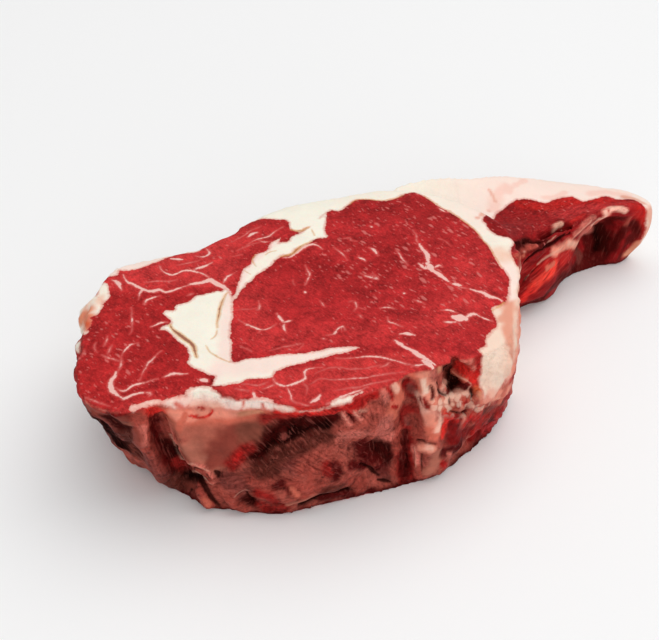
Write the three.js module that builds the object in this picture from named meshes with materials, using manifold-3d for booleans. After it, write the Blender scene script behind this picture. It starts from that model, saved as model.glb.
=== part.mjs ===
// A thick raw ribeye steak lying flat, with the bone cut away and its tail left on.
// Millimetres, +Z up. X runs along the steak towards the tail's tip, and -Y faces the cut front.
// The origin is on the board, under the middle of the whole piece.

import * as THREE from "three";
import { ImprovedNoise } from "three/addons/math/ImprovedNoise.js";
import { mergeVertices } from "three/addons/utils/BufferGeometryUtils.js";
import Module from "manifold-3d";

const THICKNESS = 50; // the main body, cut two inches thick
const TAIL_THICKNESS = 28; // the tail is thinner and lies on the board too

// The main body's rim, counter-clockwise from the notch beside the tail.
// top: rim height. foot: where the wall below meets the board. bulge: how far it swells at half height.
// A centre's shoulder says how the top falls to its rim: 2 is an even crown, and more keeps the top flat for longer.
const BODY_RIM = [
  { x: 44, y: -10, top: THICKNESS - 4, foot: [45, -8], bulge: 0 },
  { x: 45, y: 8, top: THICKNESS - 2, foot: [42, 6], bulge: 1 },
  { x: 38, y: 26, top: THICKNESS - 2, foot: [33, 21], bulge: 0 },
  { x: 20, y: 38, top: THICKNESS - 1, foot: [17, 31], bulge: 0 },
  { x: 0, y: 42, top: THICKNESS - 1, foot: [0, 37], bulge: 2 },
  { x: -22, y: 38, top: THICKNESS - 1, foot: [-21, 33], bulge: 3 },
  { x: -42, y: 30, top: THICKNESS - 1, foot: [-40, 26], bulge: 3 },
  { x: -58, y: 18, top: THICKNESS - 1, foot: [-55, 14], bulge: 3 },
  { x: -70, y: 6, top: THICKNESS - 1, foot: [-67, 1], bulge: 2 },
  { x: -86, y: 0, top: THICKNESS - 1, foot: [-84, -6], bulge: 3 },
  { x: -101, y: -7, top: THICKNESS - 1, foot: [-94, -14], bulge: 2 },
  { x: -106, y: -20, top: THICKNESS - 2, foot: [-98, -24], bulge: 2 },
  { x: -107, y: -42, top: THICKNESS - 2, foot: [-99, -38], bulge: 2 },
  { x: -107, y: -60, top: THICKNESS - 2, foot: [-96, -49], bulge: 2 },
  { x: -103, y: -74, top: THICKNESS - 3, foot: [-90, -57], bulge: 1 },
  { x: -92, y: -80, top: THICKNESS - 2, foot: [-82, -62], bulge: 0 },
  { x: -77, y: -77, top: THICKNESS - 1, foot: [-76, -69], bulge: 1 },
  { x: -64, y: -71, top: THICKNESS, foot: [-65, -77], bulge: 2 },
  { x: -52, y: -75, top: THICKNESS, foot: [-53, -79], bulge: 1 },
  { x: -38, y: -79, top: THICKNESS, foot: [-40, -80], bulge: 0 },
  { x: -25, y: -80, top: THICKNESS, foot: [-27, -76], bulge: 0 },
  { x: -8, y: -71, top: THICKNESS, foot: [-10, -71], bulge: 1 },
  { x: 8, y: -62, top: THICKNESS, foot: [10, -64], bulge: 2 },
  { x: 24, y: -55, top: THICKNESS - 1, foot: [24, -53], bulge: 2 },
  { x: 35, y: -44, top: THICKNESS - 4, foot: [34, -41], bulge: 4 },
  { x: 42, y: -28, top: THICKNESS - 5, foot: [41, -26], bulge: 2 },
];
const BODY_CENTRE = { x: -34, y: -22, top: THICKNESS + 0.5, shoulder: 6 };

// The tail's rim, counter-clockwise from the notch. Its root runs on into the body.
const TAIL_RIM = [
  { x: 54, y: 30, top: TAIL_THICKNESS + 6, foot: [54, 31], bulge: 2 },
  { x: 65, y: 37, top: TAIL_THICKNESS + 4, foot: [64, 38], bulge: 2 },
  { x: 75, y: 48, top: TAIL_THICKNESS + 1, foot: [74, 50], bulge: 0 },
  { x: 86, y: 56, top: TAIL_THICKNESS, foot: [86, 57], bulge: -2 },
  { x: 98, y: 58, top: TAIL_THICKNESS, foot: [97, 60], bulge: 2 },
  { x: 107, y: 63, top: TAIL_THICKNESS - 1, foot: [101, 65], bulge: 3 },
  { x: 102, y: 71, top: TAIL_THICKNESS - 1, foot: [98, 67], bulge: 2 },
  { x: 88, y: 76, top: TAIL_THICKNESS, foot: [86, 72], bulge: 2 },
  { x: 70, y: 78, top: TAIL_THICKNESS + 1, foot: [69, 74], bulge: 2 },
  { x: 52, y: 74, top: TAIL_THICKNESS + 6, foot: [53, 70], bulge: 2 },
  { x: 34, y: 66, top: TAIL_THICKNESS + 11, foot: [36, 62], bulge: 2 },
  { x: 16, y: 58, top: TAIL_THICKNESS + 16, foot: [18, 53], bulge: 2 },
  { x: 3, y: 48, top: THICKNESS - 3, foot: [5, 43], bulge: 2 },
  { x: 2, y: 34, top: THICKNESS - 2, foot: [2, 34], bulge: 0 },
  { x: 20, y: 18, top: THICKNESS - 2, foot: [20, 18], bulge: 0 },
  { x: 42, y: 20, top: TAIL_THICKNESS + 14, foot: [42, 20], bulge: 0 },
];
const TAIL_CENTRE = { x: 68, y: 62, top: TAIL_THICKNESS + 4, shoulder: 2 };

const LEAN_POWER = 1.3; // 1 leans a wall evenly, and more leaves its upper part upright
const BODY_MESH = { around: 160, wallRows: 11, topRings: [0.97, 0.9, 0.78, 0.62, 0.44, 0.22] };
const TAIL_MESH = { around: 76, wallRows: 7, topRings: [0.94, 0.8, 0.6, 0.35] };
const FOOT_RINGS = [0.6];

// Relief. Each stroke follows a line of [x, y, z] points and fades out over its reach.
// A depth above 0 raises the surface and one below 0 sinks it.
const BODY_STROKES = [
  { what: "undercut below the far corner", line: [[-98, -66, 26], [-88, -70, 24]], reach: 7, depth: -3 },
  { what: "muscle end beside it", line: [[-85, -79, 44], [-83, -76, 28], [-80, -70, 8]], reach: 5, depth: 3.5 },
  { what: "cleft behind the membrane", line: [[-78, -78, 42], [-76, -77, 22], [-71, -75, 4]], reach: 4, depth: -4.5 },
  { what: "membrane's rolled edge", line: [[-73, -76, 44], [-72, -76, 24], [-61, -77, 16]], reach: 3, depth: 2 },
  { what: "membrane over the front", line: [[-64, -74, 32], [-52, -76, 28]], reach: 10, depth: 1.5 },
  { what: "finger of muscle at the foot", line: [[-68, -75, 13], [-65, -75, 2]], reach: 4, depth: 3 },
  { what: "cleft beside it", line: [[-62, -76, 12], [-59, -78, 1]], reach: 3, depth: -3 },
  { what: "hollow under the front rim", line: [[-46, -78, 37], [-22, -79, 37]], reach: 8, depth: -3.5 },
  { what: "fibrous swelling at the foot", line: [[-54, -78, 10], [-40, -80, 11], [-20, -76, 14]], reach: 8, depth: 2.5 },
  { what: "swelling at the front's right", line: [[-16, -76, 38], [-3, -69, 40]], reach: 8, depth: 2 },
  { what: "hollow in the lower front", line: [[-14, -75, 25], [-4, -70, 22]], reach: 6, depth: -3.5 },
  { what: "fold below that hollow", line: [[-17, -75, 11], [-8, -71, 8], [1, -68, 9]], reach: 3, depth: -3.5 },
  { what: "groove beside the pale ridge", line: [[4, -65, 46], [3, -67, 24], [3, -67, 3]], reach: 4, depth: -3 },
  { what: "pale upright ridge", line: [[9, -62, 48], [10, -64, 32], [11, -64, 20]], reach: 3.5, depth: 3 },
  { what: "hollow round the vein", line: [[18, -58, 42], [27, -54, 38]], reach: 6, depth: -3 },
  { what: "pale lump at the front foot", line: [[8, -66, 16], [13, -62, 4]], reach: 4, depth: 2.5 },
  { what: "dark lump below the vein", line: [[18, -60, 25], [18, -59, 11]], reach: 5, depth: 3 },
  { what: "undercut at the right foot", line: [[23, -55, 4], [32, -48, 5]], reach: 4, depth: -4 },
  { what: "fat along the right rim", line: [[32, -48, 38], [40, -34, 38], [44, -18, 36]], reach: 6, depth: 1.5 },
  { what: "groove below the right fat", line: [[34, -46, 20], [42, -30, 18], [47, -12, 18]], reach: 5, depth: -1 },
  { what: "seam at the back", line: [[-60, 16, 44], [-57, 20, 4]], reach: 5, depth: -3 },
  { what: "seam at the left end", line: [[-108, -50, 42], [-100, -46, 6]], reach: 5, depth: -3 },
];
const TAIL_STROKES = [
  { what: "hollow behind the bony edge", line: [[84, 55, 12], [90, 58, 18]], reach: 7, depth: -5 },
  { what: "pale ridge along the front", line: [[75, 47, 27], [84, 55, 28], [98, 59, 28]], reach: 3.5, depth: 2.5 },
  { what: "dip in the meat's top", line: [[52, 46, 34], [72, 60, 32], [90, 66, 29]], reach: 8, depth: -2 },
  { what: "fold across the tip", line: [[101, 58, 24], [101, 58, 4]], reach: 3, depth: -2 },
];

// Uneven lumps that stand out of the cut: centre, half lengths, and turn about Z in degrees.
const LUMPS = [
  { what: "fat knob at the far end", at: [-104, -27, 39], half: [7, 10, 9], turn: 0 },
  { what: "smaller fat knob", at: [-106, -43, 41], half: [4.5, 5, 6], turn: 0 },
  { what: "slab of muscle on the tail", at: [61.5, 36.5, 13], half: [17, 5.5, 12], turn: 45 },
  { what: "flap above the slab", at: [54, 30, 29], half: [8, 4, 4], turn: 30 },
];
const LUMP_UNEVENNESS = 0.35;

// A cluster of fat crumbs hangs under the open vein, along a line on the wall.
const CRUMBS = { from: [14, -62, 32], to: [31, -50, 28], count: 8, size: 3.4, scatter: 4 };

// Openings cut into the meat, given as the lumps are.
const VEIN = { at: [19, -57, 42], half: [5, 8, 6.5], turn: 30 };
const TAIL_CREVICE = { at: [62, 38, 28], half: [16, 2.2, 7], turn: 42 };

const WALL_GRAIN = [
  { size: 19, depth: 1.3 },
  { size: 8, depth: 0.7 },
];
const FACE_GRAIN_SHARE = 0.3; // the knife leaves the faces flatter than the walls

const noise = new ImprovedNoise();
const wasm = await Module();
wasm.setup();

function closedCurve(points) {
  return new THREE.CatmullRomCurve3(points, true, "centripetal");
}

// A lobe is turned as a plain drum of radius and height 1, and then drawn out to its rim and foot.
function drum({ around, wallRows, topRings }) {
  const profile = [new THREE.Vector2(0, 0)];
  for (const radius of FOOT_RINGS) profile.push(new THREE.Vector2(radius, 0));
  for (let row = 0; row <= wallRows; row++) profile.push(new THREE.Vector2(1, row / wallRows));
  for (const radius of topRings) profile.push(new THREE.Vector2(radius, 1));
  profile.push(new THREE.Vector2(0, 1));
  return new THREE.LatheGeometry(profile, around);
}

function lobe(rim, centre, mesh, strokes) {
  const edge = closedCurve(rim.map((p) => new THREE.Vector3(p.x, p.y, p.top)));
  const wall = closedCurve(rim.map((p) => new THREE.Vector3(...p.foot, p.bulge)));
  const geometry = drum(mesh);
  const place = geometry.getAttribute("position");
  for (let i = 0; i < place.count; i++) {
    const radius = Math.hypot(place.getX(i), place.getZ(i));
    const height = place.getY(i);
    const turn = (Math.atan2(place.getX(i), place.getZ(i)) / (2 * Math.PI) + 1) % 1;
    const top = edge.getPoint(turn);
    const along = edge.getTangent(turn).setZ(0).normalize();
    const { x: footX, y: footY, z: bulge } = wall.getPoint(turn);
    const lean = (1 - height) ** LEAN_POWER;
    const swell = bulge * Math.sin(Math.PI * height);
    const x = top.x + (footX - top.x) * lean + swell * along.y;
    const y = top.y + (footY - top.y) * lean - swell * along.x;
    const crown = centre.top + (top.z - centre.top) * radius ** centre.shoulder;
    place.setXYZ(
      i,
      centre.x + radius * (x - centre.x),
      centre.y + radius * (y - centre.y),
      height === 1 ? crown : top.z * height,
    );
  }
  return carve(joined(geometry), strokes);
}

// Only positions are kept, so that vertices at one place become one.
function joined(geometry) {
  const bare = new THREE.BufferGeometry()
    .setAttribute("position", geometry.getAttribute("position"))
    .setIndex(geometry.getIndex());
  return mergeVertices(bare, 1e-3);
}

function distanceToLine(point, line) {
  const nearest = new THREE.Vector3();
  const segment = new THREE.Line3();
  let least = Infinity;
  for (let k = 1; k < line.length; k++) {
    segment.set(new THREE.Vector3(...line[k - 1]), new THREE.Vector3(...line[k]));
    segment.closestPointToPoint(point, true, nearest);
    least = Math.min(least, nearest.distanceTo(point));
  }
  return least;
}

function grain({ x, y, z }) {
  return WALL_GRAIN.reduce((sum, { size, depth }) => sum + depth * noise.noise(x / size, y / size, z / size), 0);
}

// Moves each vertex in or out along its normal. What lies on the board stays on it.
function carve(geometry, strokes) {
  geometry.computeVertexNormals();
  const place = geometry.getAttribute("position");
  const normals = geometry.getAttribute("normal");
  for (let i = 0; i < place.count; i++) {
    const point = new THREE.Vector3().fromBufferAttribute(place, i);
    const normal = new THREE.Vector3().fromBufferAttribute(normals, i);
    const onBoard = point.z < 1e-6;
    if (onBoard) normal.setZ(0);
    const share = FACE_GRAIN_SHARE + (1 - FACE_GRAIN_SHARE) * Math.hypot(normal.x, normal.y);
    let rise = grain(point) * share;
    for (const { line, reach, depth } of strokes) {
      rise += depth * Math.exp(-((distanceToLine(point, line) / reach) ** 2));
    }
    point.addScaledVector(normal, rise);
    place.setXYZ(i, point.x, point.y, onBoard ? 0 : point.z);
  }
  return geometry;
}

// A lump is an uneven ball, drawn out and turned. One that reaches the board is flat there.
function lump({ at, half, turn }, detail = 3) {
  const geometry = joined(new THREE.IcosahedronGeometry(1, detail));
  const place = geometry.getAttribute("position");
  const point = new THREE.Vector3();
  for (let i = 0; i < place.count; i++) {
    point.fromBufferAttribute(place, i);
    const swell = noise.noise(point.x * 1.5 + at[0], point.y * 1.5 + at[1], point.z * 1.5 + at[2]);
    point.multiplyScalar(1 + LUMP_UNEVENNESS * swell);
    place.setXYZ(i, ...point);
  }
  geometry.scale(...half).rotateZ(THREE.MathUtils.degToRad(turn)).translate(...at);
  for (let i = 0; i < place.count; i++) place.setZ(i, Math.max(place.getZ(i), 0));
  return geometry;
}

// Crumbs stand in a row with a seeded scatter, each a little lump of its own size.
function crumbs({ from, to, count, size, scatter }) {
  const start = new THREE.Vector3(...from);
  const end = new THREE.Vector3(...to);
  return Array.from({ length: count }, (_, k) => {
    const at = start.clone().lerp(end, k / (count - 1));
    at.z += scatter * noise.noise(k * 1.7, 0.5, 0.5);
    const reach = size * (1 + 0.4 * noise.noise(k * 2.3, 3.5, 0.5));
    return lump({ at: at.toArray(), half: [reach, reach * 0.8, reach * 0.9], turn: 40 * k }, 1);
  });
}

function solidOf(geometry) {
  return new wasm.Manifold(
    new wasm.Mesh({
      numProp: 3,
      vertProperties: geometry.getAttribute("position").array,
      triVerts: new Uint32Array(geometry.getIndex().array),
    }),
  );
}

function geometryOf(solid) {
  const { vertProperties, triVerts } = solid.getMesh();
  const geometry = new THREE.BufferGeometry()
    .setAttribute("position", new THREE.BufferAttribute(vertProperties, 3))
    .setIndex(new THREE.BufferAttribute(triVerts, 1));
  geometry.computeVertexNormals();
  return geometry;
}

// The whole piece stands with the middle of its bounding box over the origin.
function centred(geometry) {
  geometry.computeBoundingBox();
  const middle = geometry.boundingBox.getCenter(new THREE.Vector3());
  return geometry.translate(-middle.x, -middle.y, 0);
}

const body = solidOf(lobe(BODY_RIM, BODY_CENTRE, BODY_MESH, BODY_STROKES));
const tail = solidOf(lobe(TAIL_RIM, TAIL_CENTRE, TAIL_MESH, TAIL_STROKES));
const lumps = [...LUMPS.map((each) => lump(each)), ...crumbs(CRUMBS)].map(solidOf);
const openings = [VEIN, TAIL_CREVICE].map((each) => solidOf(lump(each)));

let cut = body.add(tail);
for (const each of openings) cut = cut.subtract(each);
for (const each of lumps) cut = cut.add(each);

const meat = new THREE.MeshStandardMaterial({ color: 0xb02d2f, roughness: 0.4, metalness: 0 });
const steak = new THREE.Mesh(centred(geometryOf(cut)), meat);
steak.name = "steak";

const group = new THREE.Group();
group.add(steak);

export default group;
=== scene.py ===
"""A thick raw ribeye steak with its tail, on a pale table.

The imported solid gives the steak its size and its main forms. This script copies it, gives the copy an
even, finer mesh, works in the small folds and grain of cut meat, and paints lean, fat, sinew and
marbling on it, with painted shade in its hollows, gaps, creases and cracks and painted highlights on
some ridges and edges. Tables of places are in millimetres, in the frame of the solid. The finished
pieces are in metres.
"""
import math

import bpy
import numpy as np
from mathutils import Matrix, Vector, noise


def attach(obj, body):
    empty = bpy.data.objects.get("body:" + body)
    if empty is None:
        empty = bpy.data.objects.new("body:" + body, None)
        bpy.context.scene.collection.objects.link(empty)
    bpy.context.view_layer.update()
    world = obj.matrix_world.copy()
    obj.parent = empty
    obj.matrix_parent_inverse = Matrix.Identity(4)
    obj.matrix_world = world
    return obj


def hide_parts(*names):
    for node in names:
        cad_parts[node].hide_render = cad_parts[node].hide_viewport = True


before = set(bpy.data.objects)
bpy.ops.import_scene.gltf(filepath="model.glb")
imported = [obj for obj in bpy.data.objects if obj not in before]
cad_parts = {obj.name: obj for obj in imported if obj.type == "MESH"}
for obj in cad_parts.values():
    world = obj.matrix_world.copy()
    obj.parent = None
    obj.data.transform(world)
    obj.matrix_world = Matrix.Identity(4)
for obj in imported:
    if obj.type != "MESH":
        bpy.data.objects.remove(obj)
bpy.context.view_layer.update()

MM = 0.001

# --------------------------------------------------------------------------------------------------
# Colours of raw beef, as red, green and blue from 0 to 255.
PAINTS = {
    "eye": (175, 40, 42),
    "quiet": (154, 31, 33),
    "lively": (198, 54, 54),
    "left": (172, 38, 39),
    "far": (190, 52, 52),
    "strip": (190, 52, 51),
    "tail lean": (142, 24, 26),
    "wall": (166, 78, 66),
    "back": (240, 218, 202),
    "side": (190, 100, 88),
    "cream": (246, 240, 224),
    "fat": (246, 236, 220),
    "rosefat": (248, 224, 212),
    "edge": (228, 158, 134),
    "butter": (243, 214, 194),
    "peach": (240, 200, 178),
    "faint": (246, 206, 192),
    "thread": (216, 112, 106),
    "sheet": (240, 190, 180),
    "ochre": (224, 170, 112),
    "apricot": (232, 142, 108),
    "rosy": (230, 142, 120),
    "blush": (234, 176, 156),
    "pale": (228, 166, 144),
    "pink": (212, 112, 98),
    "tan": (204, 132, 104),
    "salmon": (206, 104, 84),
    "membrane": (188, 102, 84),
    "fawn": (178, 104, 86),
    "finger": (170, 76, 64),
    "ridge": (160, 68, 57),
    "brown": (138, 62, 51),
    "dusk": (128, 59, 52),
    "umber": (92, 40, 32),
    "olive": (132, 70, 56),
    "rust": (216, 94, 60),
    "vermilion": (242, 62, 48),
    "bright": (214, 44, 38),
    "red": (178, 30, 28),
    "blood": (146, 32, 28),
    "deep": (128, 18, 18),
    "maroon": (84, 14, 13),
    "dark": (54, 9, 7),
    "black": (26, 3, 2),
}


def linear(name):
    """A paint as the linear colour that materials take."""
    def channel(value):
        share = value / 255
        return share / 12.92 if share <= 0.04045 else ((share + 0.055) / 1.055) ** 2.4
    return [channel(value) for value in PAINTS[name]] + [1.0]


# --------------------------------------------------------------------------------------------------
# Seen from above: where the lean stops and the fat starts. Closed outlines, x and y.
WEDGE_AND_LOW_SEAM = [
    (-58.5, -17), (-59, -19.5), (-61, -19), (-65, -21), (-68.5, -22), (-69.5, -24.5), (-72.5, -26.5),
    (-75, -27.5), (-75, -29.5), (-78, -30), (-78.5, -32), (-76.5, -34), (-76, -37), (-78.5, -38),
    (-78.5, -40), (-76, -41), (-74, -44), (-71.5, -47), (-69, -50), (-68, -53.5), (-68.5, -57),
    (-66.5, -59), (-61, -62.5), (-59, -63.5), (-59.5, -67.5), (-56.5, -68), (-50.5, -67), (-47.5, -65),
    (-40, -64.5), (-39, -61.5), (-33, -58.5), (-26, -56), (-21.5, -54), (-17.5, -52.5), (-11.5, -49.5),
    (-16.5, -49), (-24.5, -51), (-30, -52.5), (-36, -53), (-43, -54.5), (-49, -55), (-53.5, -56.5),
    (-54, -47.5), (-55, -40), (-54.5, -31), (-55.5, -21),
]
SEAM_TO_THE_BACK = [
    (-55.5, -24), (-54, -19.5), (-54, -17), (-53, -13), (-52.5, -7), (-50, -5), (-49, -2), (-47.5, 2),
    (-43.5, 4.5), (-43, 8), (-39.5, 12), (-40, 8), (-38.5, 9), (-36.5, 9), (-35.5, 12), (-33.5, 14),
    (-31, 16), (-29.5, 18.5), (-27.5, 21), (-24, 27), (-22.5, 27), (-23, 16.5), (-22, 13), (-23.5, 11.5),
    (-25.5, 11.5), (-28, 9), (-31, 6), (-34, 4.5), (-35, 2), (-39.5, 0), (-42.5, -5), (-46, -9),
    (-49.5, -14.5), (-52, -18.5), (-54.5, -24),
]
CAP_AND_RIGHT_STRIP = [
    (-99.5, -9), (-97, -6.5), (-91.5, -6), (-86, -3.5), (-81, 0), (-77, 3.5), (-73, 4), (-69, 5),
    (-67.5, 8), (-64, 12), (-61, 15.5), (-56, 18.5), (-54, 20.5), (-50, 24), (-45.5, 25), (-41.5, 24),
    (-38, 24), (-37, 22), (-35.5, 17), (-32.5, 15), (-30.5, 17), (-28.5, 18.5), (-25.5, 18.5), (-24, 22),
    (-25, 24), (-23, 27), (-21, 29.5), (-18.5, 29), (-16.5, 30), (-14.5, 32.5), (-12, 36), (-7, 37),
    (-1.5, 35.5), (3, 37), (6.5, 40.5), (9.5, 41.5), (11.5, 41.5), (16, 37.5), (20, 32.5), (23.5, 29.5),
    (28, 24.5), (32.5, 17.5), (35.5, 10), (37.5, 3.5), (40, -2.5), (42.5, -7.5), (42, -13.5), (41, -20),
    (39, -22.5), (35, -25.5), (35.5, -30), (36, -33.5), (34, -37), (31.5, -41.5), (31, -45.5), (30, -51),
    (60, -70), (150, 0), (150, 110), (0, 110), (-120, 60), (-130, 0),
]
TAIL_MUSCLE = [
    (36, 25.5), (41, 38), (44, 48.5), (47, 52), (50, 57), (54.5, 60.5), (58.5, 61.5), (65.5, 61),
    (70, 64.5), (77, 66.5), (81, 64), (85.5, 66.5), (90.5, 69), (95, 67), (101, 67), (105, 63.5),
    (108, 60.5), (114, 57), (114, 46), (110, 30), (80, 20), (60, 2), (50, 0.5), (46.5, -0.5), (45.5, 2),
    (44.5, 5.5), (45, 8), (46.5, 12.5), (43, 15), (40, 16), (38, 19.5), (37, 23.5),
]

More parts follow.
